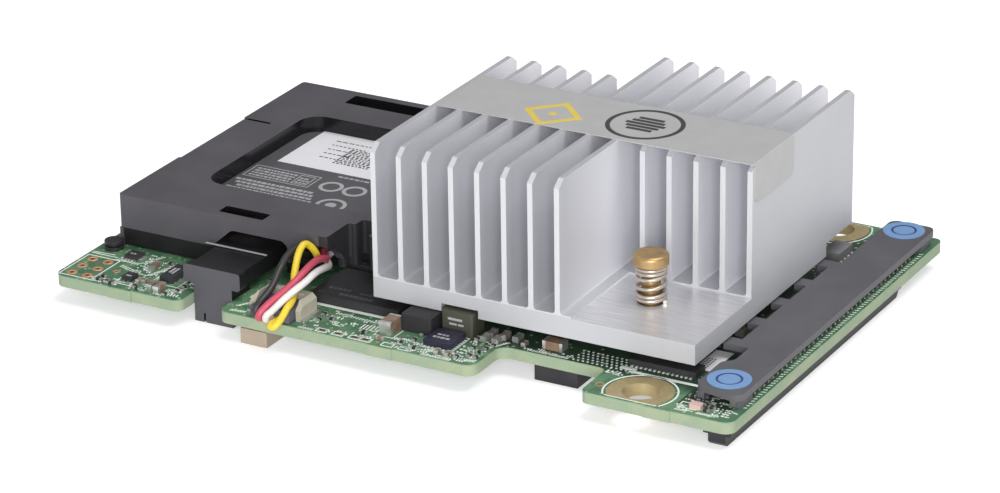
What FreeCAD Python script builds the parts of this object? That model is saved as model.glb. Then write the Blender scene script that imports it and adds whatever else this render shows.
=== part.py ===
import FreeCAD
import Part
import math
import os

os.makedirs("parts", exist_ok=True)

# Storage controller card: a small circuit board that lies flat on an underside connector.
# It carries a finned heatsink on two spring screws, a backup battery in a moulded cover with
# its lead, and a touch strip along the connector edge. Millimetres, X along the long edge,
# Y from the front edge to the rear edge, Z up from the board's underside.

# circuit board
board_thickness = 1.6
board_corner = 1.5
board_rear_corner = 1.0
board_rear_margin = 4.75
board_right_margin = 9.11
front_notch_left = 19.8
front_notch_width = 6.1
front_notch_depth = 9.0
notch_corner = 1.2
wide_notch_from_right = 36.2
wide_notch_width = 15.3
wide_notch_depth = 7.3
wide_notch_corner = 1.6
wide_notch_inner_corner = 1.0
tab_left_positions = (8.6, 48.3)
tab_right_distances = (12.1,)
tab_width = 3.7
tab_reach = 0.15
tab_root = 0.5

# plated mounting holes
hole_from_right = 14.08
hole_inset = 3.26
hole_drill_radius = 2.55
plating_wall = 0.2
plating_pad_radius = 4.3
plating_pad_thickness = 0.05
plating_pad_margin = 0.5

# controller package
package_side = 27.0
package_height = 1.2
package_corner = 0.6
lid_side = 21.0
lid_height = 0.9
lid_corner = 1.0
pad_side = 20.0
pad_height = 0.4

# heatsink
heatsink_gap = 1.32
heatsink_depth = 46.66
heatsink_rear_margin = 9.64
heatsink_base = 2.76
fin_count = 13
fin_pitch = 3.803
fin_thickness = 0.738
fin_height = 18.36
fin_root = 0.45
fin_chamfer_depth = 1.3
fin_chamfer_height = 1.0
shelf_fins = 5
front_shelf_depth = 15.99
rear_shelf_depth = 9.2
front_screw_from_right = 11.04
front_screw_from_front = 9.61
rear_screw_from_left = 11.18
rear_screw_from_rear = 4.45
screw_hole_radius = 1.75
relief_clearance = 0.4
shelf_step = 0.25
base_notch_width = 12.0
base_notch_depth = 8.0
base_notch_web = 0.9

# spring screws, springs and nuts
screw_head_radius = 2.3
screw_head_height = 1.55
screw_head_round = 0.5
screw_shank_radius = 1.25
screw_thread_radius = 1.0
screw_tip_chamfer = 0.15
spring_height = 5.2
spring_radius = 1.97
spring_wire = 0.5
spring_closed_turns = 2
spring_free_turns = 2
spring_points = 8
spring_end_gap = 0.04
nut_barrel_radius = 1.85
nut_flange_radius = 2.7
nut_flange_height = 1.0
nut_hole_clearance = 0.05
nut_flange_round = 0.2
nut_barrel_round = 0.1
thread_clearance = 0.05

# heatsink label
label_front = 15.81
label_depth = 12.1
label_left_inset = 0.78
label_thickness = 0.12
label_flap = 5.52
label_flap_front = 0.7
label_flap_corner = 1.2

# memory chips
memory_left = 34.8
memory_front = 8.3
memory_length = 13.4
memory_depth = 9.0
memory_height = 1.2
memory_pitch = 10.6
memory_count = 5

# battery cover
cover_left = 2.33
cover_front = 12.46
cover_length = 40.87
cover_depth = 47.48
cover_height = 7.4
cover_wall = 1.3
cover_roof = 1.4
cover_corner = 0.5
cover_lip = 2.65
cover_skirt = 0.5
cover_side_step = 0.3
cover_side_step_front = 14.9
cover_side_step_length = 16.3
lead_notch_left = 32.75
lead_notch_width = 4.6
lead_notch_depth = 5.6
lead_step_width = 1.1
lead_step_depth = 1.8
cover_setback = 2.8
lead_mouth_width = 5.85
lead_mouth_slope = 0.5
lead_mouth_roof = 2.18
lead_side_depth = 3.5
lead_side_roof = 3.6
lead_side_front_roof = 1.5
lead_post_front = 4.3
lead_post_gap = 0.15
window_left = 7.57
window_front = 9.14
window_length = 28.1
window_depth = 27.9
window_corner = 3.0
window_rim = 1.0
window_rim_gap = 0.1
rear_slot_left = 9.57
rear_slot_rear = 1.34
rear_slot_length = 14.8
rear_slot_width = 3.2
front_slot_left = 15.27
front_slot_front = 1.04
front_slot_length = 6.9
front_slot_width = 2.2
slot_corner = 0.3
side_groove_length = 4.5
side_groove_width = 0.6
side_groove_depth = 0.5
side_groove_front = 31.04
arch_left = 14.67
arch_width = 12.0
arch_height = 5.5
arch_slope = 1.6
arch_corner = 1.3

# battery tray
tray_clearance = 0.4
tray_plate = 1.0
tray_inset = 1.0
tray_front_inset = 2.2
tray_skirt_gap = 0.15
tray_rib_width = 1.2
tray_rib_positions = (1.9, 25.0)
arm_width = 8.75
arm_left = 18.35
arm_front = 3.5
arm_bottom = 1.4
arm_height = 2.2
arm_head_depth = 1.6
arm_head_rise = 0.3
arm_corner = 0.5
latch_ridge_width = 0.3
latch_ridge_height = 0.25
latch_ridge_back = 7.2
latch_ridge_overhang = 1.15
latch_ridge_short = 0.4
leg_clearance = 0.1
leg_rear_clearance = 0.25
leg_hook = 1.0
leg_hook_gap = 0.15
leg_slit = 0.3
leg_slit_height = 1.3
leg_slit_left = 1.4
leg_corner = 0.4
peg_radius = 1.3
peg_clearance = 0.2
peg_positions = (5.0, 27.0)
peg_from_rear = 6.5
peg_head = 0.35
peg_chamfer = 0.5

# backup battery
battery_clearance = 0.3
battery_height = 2.5
battery_corner = 1.2
battery_edge = 0.4
sticker_left = 9.8
sticker_front = 24.6
sticker_length = 16.3
sticker_depth = 13.2
sticker_thickness = 0.05

# battery lead: header on the board, plug and wires
header_left = 29.8
header_front = 1.7
header_width = 7.7
header_depth = 4.0
header_height = 2.6
header_cheek = 0.8
header_back = 1.1
header_slope = 1.1
header_chamfer = 0.6
solder_tab_width = 0.6
solder_tab_length = 4.2
solder_tab_height = 0.35
plug_clearance = 0.1
plug_front = 0.3
plug_height = 1.7
plug_corner = 0.25
plug_floor = 0.05
wire_diameter = 0.95
wire_pitch = 1.1
wire_first = 31.7
wire_socket_gap = 0.05
wire_entry = 0.6
wire_floor = 0.025
wire_count = 4

# touch strip along the connector edge
strip_inset = 0.4
strip_front = 3.3
strip_rear_inset = 1.44
strip_underside = 1.25
strip_thickness = 0.9
strip_end_width = 6.7
strip_end_length = 7.2
strip_neck_width = 5.4
strip_rear_width = 6.45
strip_main_width = 7.3
strip_main_front = 17.0
strip_corner = 1.2
strip_edge = 0.15
strip_tooth_reach = 1.8
strip_tooth_width = 2.0
strip_tooth_pitch = 6.95
strip_tooth_count = 5
strip_leg_width = 0.9
strip_leg_length = 3.0
strip_leg_inset = 0.3
strip_leg_front = 1.2
touch_radius = 2.82
touch_thickness = 0.12
touch_ring_radius = 1.6
touch_ring_width = 0.2
touch_ring_depth = 0.06
touch_from_right = 3.45
touch_from_front = 4.08
touch_from_rear = 2.85

# underside
underside_depth = 2.4
connector_inset = 0.7
connector_front = 1.2
connector_length = 51.8
connector_flange_width = 3.8
connector_flange_height = 0.9
connector_body_width = 2.4
connector_body_inset = 0.6
connector_slot_width = 0.9
connector_slot_end = 1.8
connector_slot_roof = 0.5
connector_chamfer = 0.5
connector_corner = 0.3
tantalum_left = 29.1
tantalum_front = 0.2
tantalum_width = 4.0
tantalum_depth = 4.8
terminal_height = 0.5
terminal_reach = 0.3
choke_left = 68.4
choke_front = 7.9
choke_width = 6.2
choke_depth = 5.5
part_corner = 0.3

# parts on the top side
round_inductor_x = 2.3
round_inductor_y = 10.95
round_inductor_radius = 1.3
round_inductor_height = 1.3
round_inductor_flange = 0.5
round_inductor_round = 0.1
black_inductor_left = 50.2
black_inductor_width = 4.4
black_inductor_depth = 3.4
black_inductor_sunk = 0.6
inductor_gap = 0.15
relief_inductor_left = 55.0
relief_inductor_width = 4.6
relief_inductor_depth = 3.4
relief_inductor_sunk = 2.6
relief_inductor_height = 3.2
flash_chip_left = 14.0
flash_chip_front = 4.3
flash_chip_width = 2.0
flash_chip_depth = 4.4
flash_chip_height = 0.9
quad_chip_left = 5.5
quad_chip_front = 8.6
quad_chip_side = 2.0
quad_chip_height = 0.55
power_chip_left = 55.0
power_chip_front = 2.9
power_chip_side = 4.0
power_chip_height = 0.85
chip_standoff = 0.1
chip_lead_width = 0.3
chip_lead_height = 0.15
chip_lead_reach = 0.55
flash_lead_count = 4
quad_lead_count = 4
regulator_left = 9.2
regulator_front = 2.4
regulator_width = 1.5
regulator_depth = 1.8
regulator_height = 0.6
regulator_lead_count = 2
low_bar_left = 81.0
low_bar_front = 9.6
low_bar_width = 9.4
low_bar_depth = 2.7
low_bar_height = 0.9
rear_chip_from_right = 11.5
rear_chip_front = 50.9
rear_chip_width = 2.6
rear_chip_depth = 4.2
rear_chip_height = 1.4
lamp_from_right = 6.7
lamp_front = 1.7
lamp_width = 1.6
lamp_depth = 1.2
lamp_height = 0.6
capacitor_end = 0.45
capacitor_swell = 0.02
capacitors = (
    (48.3, 3.3, 1.7, 2.9, 1.8),
    (10.5, 6.8, 0.9, 2.0, 0.7),
    (13.9, 1.2, 0.85, 1.7, 0.85),
    (15.1, 0.9, 0.9, 2.0, 0.9),
    (69.0, 8.9, 2.9, 1.6, 1.2),
    (88.9, 23.8, 1.2, 2.3, 1.0),
)

# positions that follow from the sizes above
top = board_thickness
heatsink_left = cover_left + cover_length + heatsink_gap
heatsink_width = (fin_count - 1) * fin_pitch + fin_thickness
heatsink_right = heatsink_left + heatsink_width
board_length = heatsink_right + board_right_margin
board_width = cover_front + cover_depth + board_rear_margin
heatsink_rear = board_width - heatsink_rear_margin
heatsink_front = heatsink_rear - heatsink_depth
hole_x = board_length - hole_from_right
hole_front_y = hole_inset
hole_rear_y = board_width - hole_inset
wide_notch_left = board_length - wide_notch_from_right
wide_notch_right = wide_notch_left + wide_notch_width
front_notch_right = front_notch_left + front_notch_width
screw_places = (
    (heatsink_right - front_screw_from_right, heatsink_front + front_screw_from_front),
    (heatsink_left + rear_screw_from_left, heatsink_rear - rear_screw_from_rear),
)
package_x = (screw_places[0][0] + screw_places[1][0]) / 2
package_y = (screw_places[0][1] + screw_places[1][1]) / 2
lid_floor = top + package_height
pad_floor = lid_floor + lid_height
heatsink_floor = pad_floor + pad_height
fin_floor = heatsink_floor + heatsink_base
fin_top = fin_floor + fin_height
screw_head_floor = fin_floor + spring_height
cover_right = cover_left + cover_length
cover_rear = cover_front + cover_depth
cover_top = top + cover_height
tray_floor = top + memory_height + tray_clearance
tray_top = tray_floor + tray_plate
battery_top = tray_top + battery_height
foot_floor = -underside_depth
strip_floor = top + strip_underside
strip_top = strip_floor + strip_thickness
strip_right = board_length - strip_inset
strip_rear = board_width - strip_rear_inset
touch_places = (
    (strip_right - touch_from_right, strip_front + touch_from_front),
    (strip_right - touch_from_right, strip_rear - touch_from_rear),
)
peg_y = cover_rear - peg_from_rear
small = 0.001
reach = 1.0
arc_share = 0.45


def vec(x, y, z):
    return FreeCAD.Vector(x, y, z)


# Closed chain of edges through (u, v, radius) corners, each rounded as far as its sides allow.
def chain(corners, place):
    rounded = []
    for index, (u, v, radius) in enumerate(corners):
        before = corners[index - 1]
        after = corners[(index + 1) % len(corners)]
        back_length = math.hypot(before[0] - u, before[1] - v)
        ahead_length = math.hypot(after[0] - u, after[1] - v)
        back = ((before[0] - u) / back_length, (before[1] - v) / back_length)
        ahead = ((after[0] - u) / ahead_length, (after[1] - v) / ahead_length)
        half = math.acos(max(-1.0, min(1.0, back[0] * ahead[0] + back[1] * ahead[1]))) / 2
        tangent = min(radius / math.tan(half), 0.45 * min(back_length, ahead_length))
        if tangent < small:
            rounded.append((place(u, v), None, place(u, v)))
            continue
        bisector = (back[0] + ahead[0], back[1] + ahead[1])
        size = math.hypot(bisector[0], bisector[1])
        arc_radius = tangent * math.tan(half)
        middle = (arc_radius / math.sin(half) - arc_radius) / size
        rounded.append((
            place(u + back[0] * tangent, v + back[1] * tangent),
            place(u + bisector[0] * middle, v + bisector[1] * middle),
            place(u + ahead[0] * tangent, v + ahead[1] * tangent),
        ))
    edges = []
    for index, (start, middle, end) in enumerate(rounded):
        if middle is not None:
            edges.append(Part.Arc(start, middle, end).toShape())
        following = rounded[(index + 1) % len(rounded)][0]
        if end.distanceToPoint(following) > small:
            edges.append(Part.LineSegment(end, following).toShape())
    return Part.Wire(edges)


def extruded(corners, place, direction):
    solid = Part.Face(chain(corners, place)).extrude(direction)
    if solid.Volume < 0:
        solid.reverse()
    return solid


def plan(corners, z, height):
    return extruded(corners, lambda u, v: vec(u, v, z), vec(0, 0, height))


def front(corners, y, depth):
    return extruded(corners, lambda u, v: vec(u, y, v), vec(0, depth, 0))


def side(corners, x, width):
    return extruded(corners, lambda u, v: vec(x, u, v), vec(width, 0, 0))


def rectangle(left, right, near, far, radius):
    return [(left, near, radius), (right, near, radius), (right, far, radius), (left, far, radius)]


def block(left, near, floor, width, depth, height):
    return Part.makeBox(width, depth, height, vec(left, near, floor))


def slab(left, near, floor, width, depth, height, radius):
    return plan(rectangle(left, left + width, near, near + depth, radius), floor, height)


def rod(x, y, floor, radius, height):
    return Part.makeCylinder(radius, height, vec(x, y, floor))


# Solid of revolution about a vertical line at x, y through (radius, z, corner radius) points.
def turned(x, y, corners):
    face = Part.Face(chain(corners, lambda u, v: vec(x + u, y, v)))
    solid = face.revolve(vec(x, y, 0), vec(0, 0, 1), 360)
    if solid.Volume < 0:
        solid.reverse()
    return solid


def joined(shapes):
    return shapes[0].multiFuse(shapes[1:]).removeSplitter()


# Path along straight runs joined by tangent arcs nearly as large as the runs allow.
def rounded_path(points):
    edges = []
    last = points[0]
    for index in range(1, len(points) - 1):
        here = points[index]
        back = points[index - 1] - here
        ahead = points[index + 1] - here
        turn = math.pi - back.getAngle(ahead)
        tangent = arc_share * min(back.Length, ahead.Length)
        radius = tangent / math.tan(turn / 2)
        back.normalize()
        ahead.normalize()
        bisector = back + ahead
        bisector.normalize()
        start = here + back * tangent
        middle = here + bisector * (radius / math.cos(turn / 2) - radius)
        end = here + ahead * tangent
        edges.append(Part.LineSegment(last, start).toShape())
        edges.append(Part.Arc(start, middle, end).toShape())
        last = end
    edges.append(Part.LineSegment(last, points[-1]).toShape())
    return Part.Wire(edges)


def tube(path, diameter):
    first = path.Edges[0]
    direction = first.Vertexes[1].Point - first.Vertexes[0].Point
    section = Part.makeCircle(diameter / 2, first.Vertexes[0].Point, direction)
    return path.makePipeShell([Part.Wire([section])], True, False)


def less(shape, tools):
    return shape.cut(tools).removeSplitter()


def save(name, shape):
    moved = shape.copy()
    moved.translate(vec(-hole_x, -hole_front_y, 0))
    moved.exportStep("parts/" + name + ".step")
    closed = all(solid.isValid() and solid.isClosed() for solid in moved.Solids)
    print(name, len(moved.Solids), "solids", round(moved.Volume, 3), "mm3", "closed" if closed else "OPEN")


# Circuit board with its two edge notches, break-off tabs, drilled holes and nut holes.
def make_board():
    outline = [
        (0, 0, board_corner),
        (front_notch_left, 0, notch_corner),
        (front_notch_left, front_notch_depth, notch_corner),
        (front_notch_right, front_notch_depth, notch_corner),
        (front_notch_right, 0, notch_corner),
        (wide_notch_left, 0, wide_notch_corner),
        (wide_notch_left, wide_notch_depth, wide_notch_corner),
        (wide_notch_right, wide_notch_depth, wide_notch_inner_corner),
        (wide_notch_right, 0, wide_notch_inner_corner),
        (board_length, 0, board_corner),
        (board_length, board_width, board_rear_corner),
        (0, board_width, board_rear_corner),
    ]
    pieces = [plan(outline, 0, top)]
    tab_places = list(tab_left_positions) + [board_length - distance for distance in tab_right_distances]
    for left in tab_places:
        pieces.append(block(left, -tab_reach, 0, tab_width, tab_reach + tab_root, top))
    drills = [rod(hole_x, y, -reach, hole_drill_radius, top + 2 * reach) for y in (hole_front_y, hole_rear_y)]
    for x, y in screw_places:
        drills.append(rod(x, y, -reach, nut_barrel_radius + nut_hole_clearance, top + 2 * reach))
    for distance in peg_positions:
        drills.append(rod(cover_left + distance, peg_y, -reach, peg_radius + peg_clearance, top + 2 * reach))
    return less(joined(pieces), drills)


# Plated hole: a barrel through the board with a thin pad on each face, flat beside the board's edge.
def make_plating(y):
    barrel_radius = hole_drill_radius - plating_wall
    height = top + 2 * plating_pad_thickness
    keep = block(
        hole_x - plating_pad_radius,
        max(plating_pad_margin, y - plating_pad_radius),
        -plating_pad_thickness,
        2 * plating_pad_radius,
        min(board_width - plating_pad_margin, y + plating_pad_radius) - max(plating_pad_margin, y - plating_pad_radius),
        height,
    )
    pads = [
        rod(hole_x, y, floor, plating_pad_radius, plating_pad_thickness).common(keep)
        for floor in (-plating_pad_thickness, top)
    ]
    barrel = rod(hole_x, y, -plating_pad_thickness, hole_drill_radius, height)
    bore = rod(hole_x, y, -reach, barrel_radius, height + 2 * reach)
    return less(joined([barrel] + pads), [bore])


# Extruded heatsink: a comb section with flared fin roots, then two milled shelves,
# chamfered fin ends, screw holes, a relief over the tall inductor and a thin rear right corner.
def make_heatsink():
    gap = fin_pitch - fin_thickness
    channel_floor = fin_floor + shelf_step
    section = [(heatsink_left, heatsink_floor, 0), (heatsink_right, heatsink_floor, 0)]
    for index in range(fin_count - 1, -1, -1):
        left = heatsink_left + index * fin_pitch
        right = left + fin_thickness
        if index == fin_count - 1:
            section.append((right, fin_top, 0))
        else:
            section.append((right, channel_floor, fin_root))
            section.append((right, fin_top, 0))
        section.append((left, fin_top, 0))
        if index > 0:
            section.append((left, channel_floor, fin_root))
    comb = front(section, heatsink_front, heatsink_depth)
    front_left = heatsink_left + (fin_count - shelf_fins) * fin_pitch - gap / 2
    rear_right = heatsink_left + (shelf_fins - 1) * fin_pitch + fin_thickness + gap / 2
    tools = [
        block(front_left, heatsink_front - reach, fin_floor, heatsink_right - front_left + reach,
              front_shelf_depth + reach, fin_height + reach),
        block(heatsink_left - reach, heatsink_rear - rear_shelf_depth, fin_floor,
              rear_right - heatsink_left + reach, rear_shelf_depth + reach, fin_height + reach),
    ]
    ends = [
        (heatsink_front, 1, heatsink_left, front_left),
        (heatsink_front + front_shelf_depth, 1, front_left, heatsink_right),
        (heatsink_rear - rear_shelf_depth, -1, heatsink_left, rear_right),
        (heatsink_rear, -1, rear_right, heatsink_right),
    ]
    for y, inward, left, right in ends:
        wedge = [
            (y - inward * reach, fin_top + reach, 0),
            (y - inward * reach, fin_top - fin_chamfer_height, 0),
            (y, fin_top - fin_chamfer_height, 0),
            (y + inward * fin_chamfer_depth, fin_top, 0),
            (y + inward * fin_chamfer_depth, fin_top + reach, 0),
        ]
        tools.append(side(wedge, left - small, right - left + 2 * small))
    for x, y in screw_places:
        tools.append(rod(x, y, heatsink_floor - reach, screw_hole_radius, heatsink_base + 2 * reach))
    tools.append(block(
        relief_inductor_left - relief_clearance,
        heatsink_front - reach,
        heatsink_floor - reach,
        relief_inductor_width + 2 * relief_clearance,
        relief_inductor_sunk + relief_clearance + reach,
        top + relief_inductor_height + relief_clearance - heatsink_floor + reach,
    ))
    tools.append(block(
        heatsink_right - base_notch_width,
        heatsink_rear - base_notch_depth,
        heatsink_floor - reach,
        base_notch_width + reach,
        base_notch_depth + reach,
        heatsink_base - base_notch_web + reach,
    ))
    return less(comb, tools)


# Adhesive label across the fin tops, folded down over the last fin.
def make_heatsink_label():
    near = heatsink_front + label_front
    section = [
        (heatsink_left + label_left_inset, fin_top, 0),
        (heatsink_right, fin_top, 0),
        (heatsink_right, fin_top - label_flap, 0),
        (heatsink_right + label_thickness, fin_top - label_flap, 0),
        (heatsink_right + label_thickness, fin_top + label_thickness, label_thickness),
        (heatsink_left + label_left_inset, fin_top + label_thickness, 0),
    ]
    sheet = front(section, near, label_depth)
    trim = [
        (near + label_flap_front, fin_top - label_flap, label_flap_corner),
        (near + label_flap_front, fin_top - label_thickness, 0),
        (near - reach, fin_top - label_thickness, 0),
        (near - reach, fin_top + 2 * reach, 0),
        (near + label_depth, fin_top + 2 * reach, 0),
        (near + label_depth, fin_top - label_flap, label_flap_corner),
    ]
    keep = side(trim, heatsink_left - reach, heatsink_width + 2 * reach)
    return sheet.common(keep).removeSplitter()


# Shoulder screw with a rounded plain head; its thread ends in the nut under the board.
def make_screw(x, y):
    corners = [
        (0, -nut_flange_height, 0),
        (screw_thread_radius, -nut_flange_height, screw_tip_chamfer),
        (screw_thread_radius, top + thread_clearance, 0),
        (screw_shank_radius, top + thread_clearance, 0),
        (screw_shank_radius, screw_head_floor, 0),
        (screw_head_radius, screw_head_floor, screw_tip_chamfer),
        (screw_head_radius, screw_head_floor + screw_head_height, screw_head_round),
        (0, screw_head_floor + screw_head_height, 0),
    ]
    return turned(x, y, corners)


# Compression spring between the heatsink's base and the screw's head.
# Coil with closed end turns: its centre line is short runs round the screw joined by arcs.
def make_spring(x, y):
    turns = spring_free_turns + 2 * spring_closed_turns
    closed_rise = spring_wire + spring_end_gap
    free_rise = (spring_height - spring_wire - 2 * spring_closed_turns * closed_rise) / spring_free_turns
    z = fin_floor + spring_wire / 2
    points = [vec(x + spring_radius, y, z)]
    for index in range(turns * spring_points):
        angle = 2 * math.pi * (index + 1) / spring_points
        turn = index // spring_points
        closed = turn < spring_closed_turns or turn >= turns - spring_closed_turns
        z = z + (closed_rise if closed else free_rise) / spring_points
        points.append(vec(x + spring_radius * math.cos(angle), y + spring_radius * math.sin(angle), z))
    return tube(rounded_path(points), spring_wire)


def make_nut(x, y):
    corners = [
        (screw_thread_radius + thread_clearance, -nut_flange_height, 0),
        (nut_flange_radius, -nut_flange_height, nut_flange_round),
        (nut_flange_radius, 0, 0),
        (nut_barrel_radius, 0, 0),
        (nut_barrel_radius, top, nut_barrel_round),
        (screw_thread_radius + thread_clearance, top, 0),
    ]
    return turned(x, y, corners)


# Moulded battery cover: a thin shell with a rimmed window, slots, an arch for the tray's arm
# and a notch for the lead.
def make_cover():
    lip = top + cover_lip
    step_front = cover_front + cover_side_step_front
    step_rear = step_front + cover_side_step_length
    notch_left = cover_left + lead_notch_left
    notch_right = notch_left + lead_notch_width
    notch_rear = cover_front + lead_notch_depth
    outline = [
        (cover_left, cover_front, cover_corner),
        (notch_left, cover_front, cover_corner),
        (notch_left, notch_rear, cover_corner),
        (notch_left + lead_step_width, notch_rear, cover_corner),
        (notch_left + lead_step_width, notch_rear + lead_step_depth, cover_corner),
        (notch_right, notch_rear + lead_step_depth, cover_corner),
        (notch_right, cover_front + cover_setback, cover_corner),
        (cover_right, cover_front + cover_setback, cover_corner),
        (cover_right, cover_rear, cover_corner),
        (cover_left, cover_rear, cover_corner),
        (cover_left, step_rear, 0),
        (cover_left + cover_side_step, step_rear, 0),
        (cover_left + cover_side_step, step_front, 0),
        (cover_left, step_front, 0),
    ]
    shell = plan(outline, tray_top, cover_top - tray_top)
    inner_left = cover_left + cover_side_step + cover_wall
    inner_floor = tray_top - reach
    inner_height = cover_top - cover_roof - inner_floor
    inner_rear = cover_rear - cover_wall
    back_front = notch_rear + lead_step_depth + cover_wall
    hollows = [
        block(inner_left, cover_front + cover_wall, inner_floor, notch_left - cover_wall - inner_left,
              inner_rear - cover_front - cover_wall, inner_height),
        block(inner_left, back_front, inner_floor, cover_right - cover_wall - inner_left,
              inner_rear - back_front, inner_height),
    ]
    shell = less(shell, hollows)
    left = cover_left + window_left
    near = cover_front + window_front
    rim_floor = battery_top + window_rim_gap
    rim = slab(left - window_rim, near - window_rim, rim_floor, window_length + 2 * window_rim,
               window_depth + 2 * window_rim, cover_top - cover_roof - rim_floor + small,
               window_corner + window_rim)
    skirt = block(cover_left, cover_front, top, cover_skirt, cover_side_step_front, tray_top - top + small)
    rear_skirt = block(cover_left, step_rear, top, cover_skirt, cover_rear - step_rear - cover_corner,
                       tray_top - top + small)
    window = slab(left, near, rim_floor - reach, window_length, window_depth,
                  cover_top - rim_floor + 2 * reach, window_corner)
    arch_floor = tray_top - reach
    arch_x = cover_left + arch_left
    arch = [
        (arch_x, arch_floor, 0),
        (arch_x + arch_width, arch_floor, 0),
        (arch_x + arch_width, top + arch_height, arch_corner),
        (arch_x + 2 * arch_slope, top + arch_height, arch_corner),
        (arch_x, lip, 0),
    ]
    mouth_roof = cover_top - lead_mouth_roof
    mouth_left = notch_left - lead_mouth_width
    mouth = [
        (mouth_left, arch_floor, 0),
        (notch_left + reach, arch_floor, 0),
        (notch_left + reach, mouth_roof, 0),
        (mouth_left + lead_mouth_slope, mouth_roof, 0),
        (mouth_left, mouth_roof - lead_mouth_slope, 0),
    ]
    side_mouth = [
        (cover_front - reach, arch_floor, 0),
        (cover_front + lead_post_front, arch_floor, 0),
        (cover_front + lead_post_front, tray_top, cover_corner),
        (cover_front + lead_side_depth, cover_top - lead_side_roof, cover_corner),
        (cover_front, cover_top - lead_side_front_roof, 0),
        (cover_front - reach, cover_top - lead_side_front_roof, 0),
    ]
    post_left = notch_left - cover_wall
    post_front = cover_front + lead_post_front
    post_rear = notch_rear + lead_step_depth - lead_post_gap
    post_floor = top + memory_height + lead_post_gap
    post_outline = [
        (post_left, post_front, cover_corner),
        (notch_left, post_front, cover_corner),
        (notch_left, notch_rear, 0),
        (notch_left + lead_step_width, notch_rear, cover_corner),
        (notch_left + lead_step_width, post_rear, 0),
        (post_left, post_rear, 0),
    ]
    post = plan(post_outline, post_floor, tray_top - post_floor + small)
    cuts = [
        window,
        slab(cover_left + rear_slot_left, cover_rear - rear_slot_rear - rear_slot_width,
             cover_top - cover_roof - reach, rear_slot_length, rear_slot_width,
             cover_roof + 2 * reach, slot_corner),
        slab(cover_left + front_slot_left, cover_front + front_slot_front,
             cover_top - cover_roof - reach, front_slot_length, front_slot_width,
             cover_roof + 2 * reach, slot_corner),
        block(cover_left - reach, cover_front + side_groove_front, cover_top - side_groove_depth,
              side_groove_length + reach, side_groove_width, side_groove_depth + reach),
        front(arch, cover_front - reach, cover_wall + 2 * reach),
        block(cover_left + cover_skirt, cover_front - reach, arch_floor, arch_left - cover_skirt + small,
              cover_wall + reach + small, lip - arch_floor),
        front(mouth, cover_front - reach, cover_wall + 2 * reach),
        side(side_mouth, notch_left - cover_wall - reach, cover_wall + 2 * reach),
    ]
    return less(joined([shell, rim, skirt, rear_skirt, post]), cuts)


# Battery tray: a plate on ribs, an arm with a foot through the front notch, and two rear pegs.
def make_tray():
    plate_left = cover_left + tray_inset
    plate_front = cover_front + tray_front_inset
    plate_right = cover_right - tray_inset
    plate_rear = cover_rear - tray_inset
    notch_left = cover_left + lead_notch_left - cover_wall - lead_post_gap
    notch_rear = cover_front + lead_notch_depth + lead_step_depth
    plate_outline = [
        (plate_left, plate_front, cover_corner),
        (notch_left, plate_front, cover_corner),
        (notch_left, notch_rear, cover_corner),
        (plate_right, notch_rear, cover_corner),
        (plate_right, plate_rear, cover_corner),
        (plate_left, plate_rear, cover_corner),
    ]
    pieces = [plan(plate_outline, tray_floor, tray_plate)]
    rib_depth = plate_rear - plate_front
    for distance in tray_rib_positions:
        pieces.append(block(cover_left + distance, plate_front, top, tray_rib_width, rib_depth, tray_floor - top + small))
    skirt_left = cover_left + cover_skirt + tray_skirt_gap
    skirt_front = cover_front + tray_skirt_gap
    skirt_floor = top + tray_skirt_gap
    pieces.append(block(skirt_left, skirt_front, skirt_floor, arm_left - skirt_left + small,
                        plate_front - skirt_front + small, tray_top - skirt_floor))
    arm_floor = top + arm_bottom
    arm_right = arm_left + arm_width
    head = rectangle(arm_left, arm_right, arm_floor, arm_floor + arm_height + arm_head_rise, arm_corner)
    arm_span = plate_front + cover_wall - arm_front
    pieces.append(front(head, arm_front, arm_head_depth))
    pieces.append(block(arm_left + arm_corner, arm_front + small, arm_floor, arm_width - 2 * arm_corner, arm_span, arm_height))
    pieces.append(block(arm_left - latch_ridge_overhang, arm_front + latch_ridge_back,
                        arm_floor + arm_height - small, arm_width + latch_ridge_overhang - latch_ridge_short,
                        latch_ridge_width, latch_ridge_height))
    leg_left = front_notch_left + leg_clearance
    leg_width = front_notch_width - 2 * leg_clearance
    leg_rear = front_notch_depth - leg_rear_clearance
    leg_outline = [
        (leg_left, arm_front, 0),
        (leg_left + leg_width, arm_front, 0),
        (leg_left + leg_width, leg_rear, notch_corner),
        (leg_left, leg_rear, notch_corner),
    ]
    leg = plan(leg_outline, foot_floor, arm_floor - foot_floor + small)
    hook = slab(leg_left, arm_front, foot_floor, leg_width, leg_rear - arm_front + leg_hook,
                underside_depth - leg_hook_gap, leg_corner)
    foot = joined([leg, hook])
    slit = block(leg_left + leg_slit_left, arm_front - reach, foot_floor - reach, leg_slit,
                 leg_rear + leg_hook + 2 * reach, leg_slit_height + reach)
    pieces.append(foot.cut(slit))
    for distance in peg_positions:
        x = cover_left + distance
        pieces.append(turned(x, peg_y, [
            (0, foot_floor, 0),
            (peg_radius - peg_chamfer + peg_head, foot_floor, 0),
            (peg_radius + peg_head, foot_floor + peg_chamfer, 0),
            (peg_radius, -leg_hook_gap, 0),
            (peg_radius, tray_floor + small, 0),
            (0, tray_floor + small, 0),
        ]))
    return joined(pieces)


def make_battery():
    inner_left = cover_left + cover_side_step + cover_wall + battery_clearance
    inner_front = cover_front + lead_notch_depth + lead_step_depth + cover_wall + battery_clearance
    inner_right = cover_right - cover_wall - battery_clearance
    inner_rear = cover_rear - cover_wall - battery_clearance
    pack = slab(inner_left, inner_front, tray_top, inner_right - inner_left, inner_rear - inner_front,
                battery_height, battery_corner)
    edges = [edge for edge in pack.Edges if abs(edge.BoundBox.ZMin - battery_top) < small]
    return pack.makeChamfer(battery_edge, edges)


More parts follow.
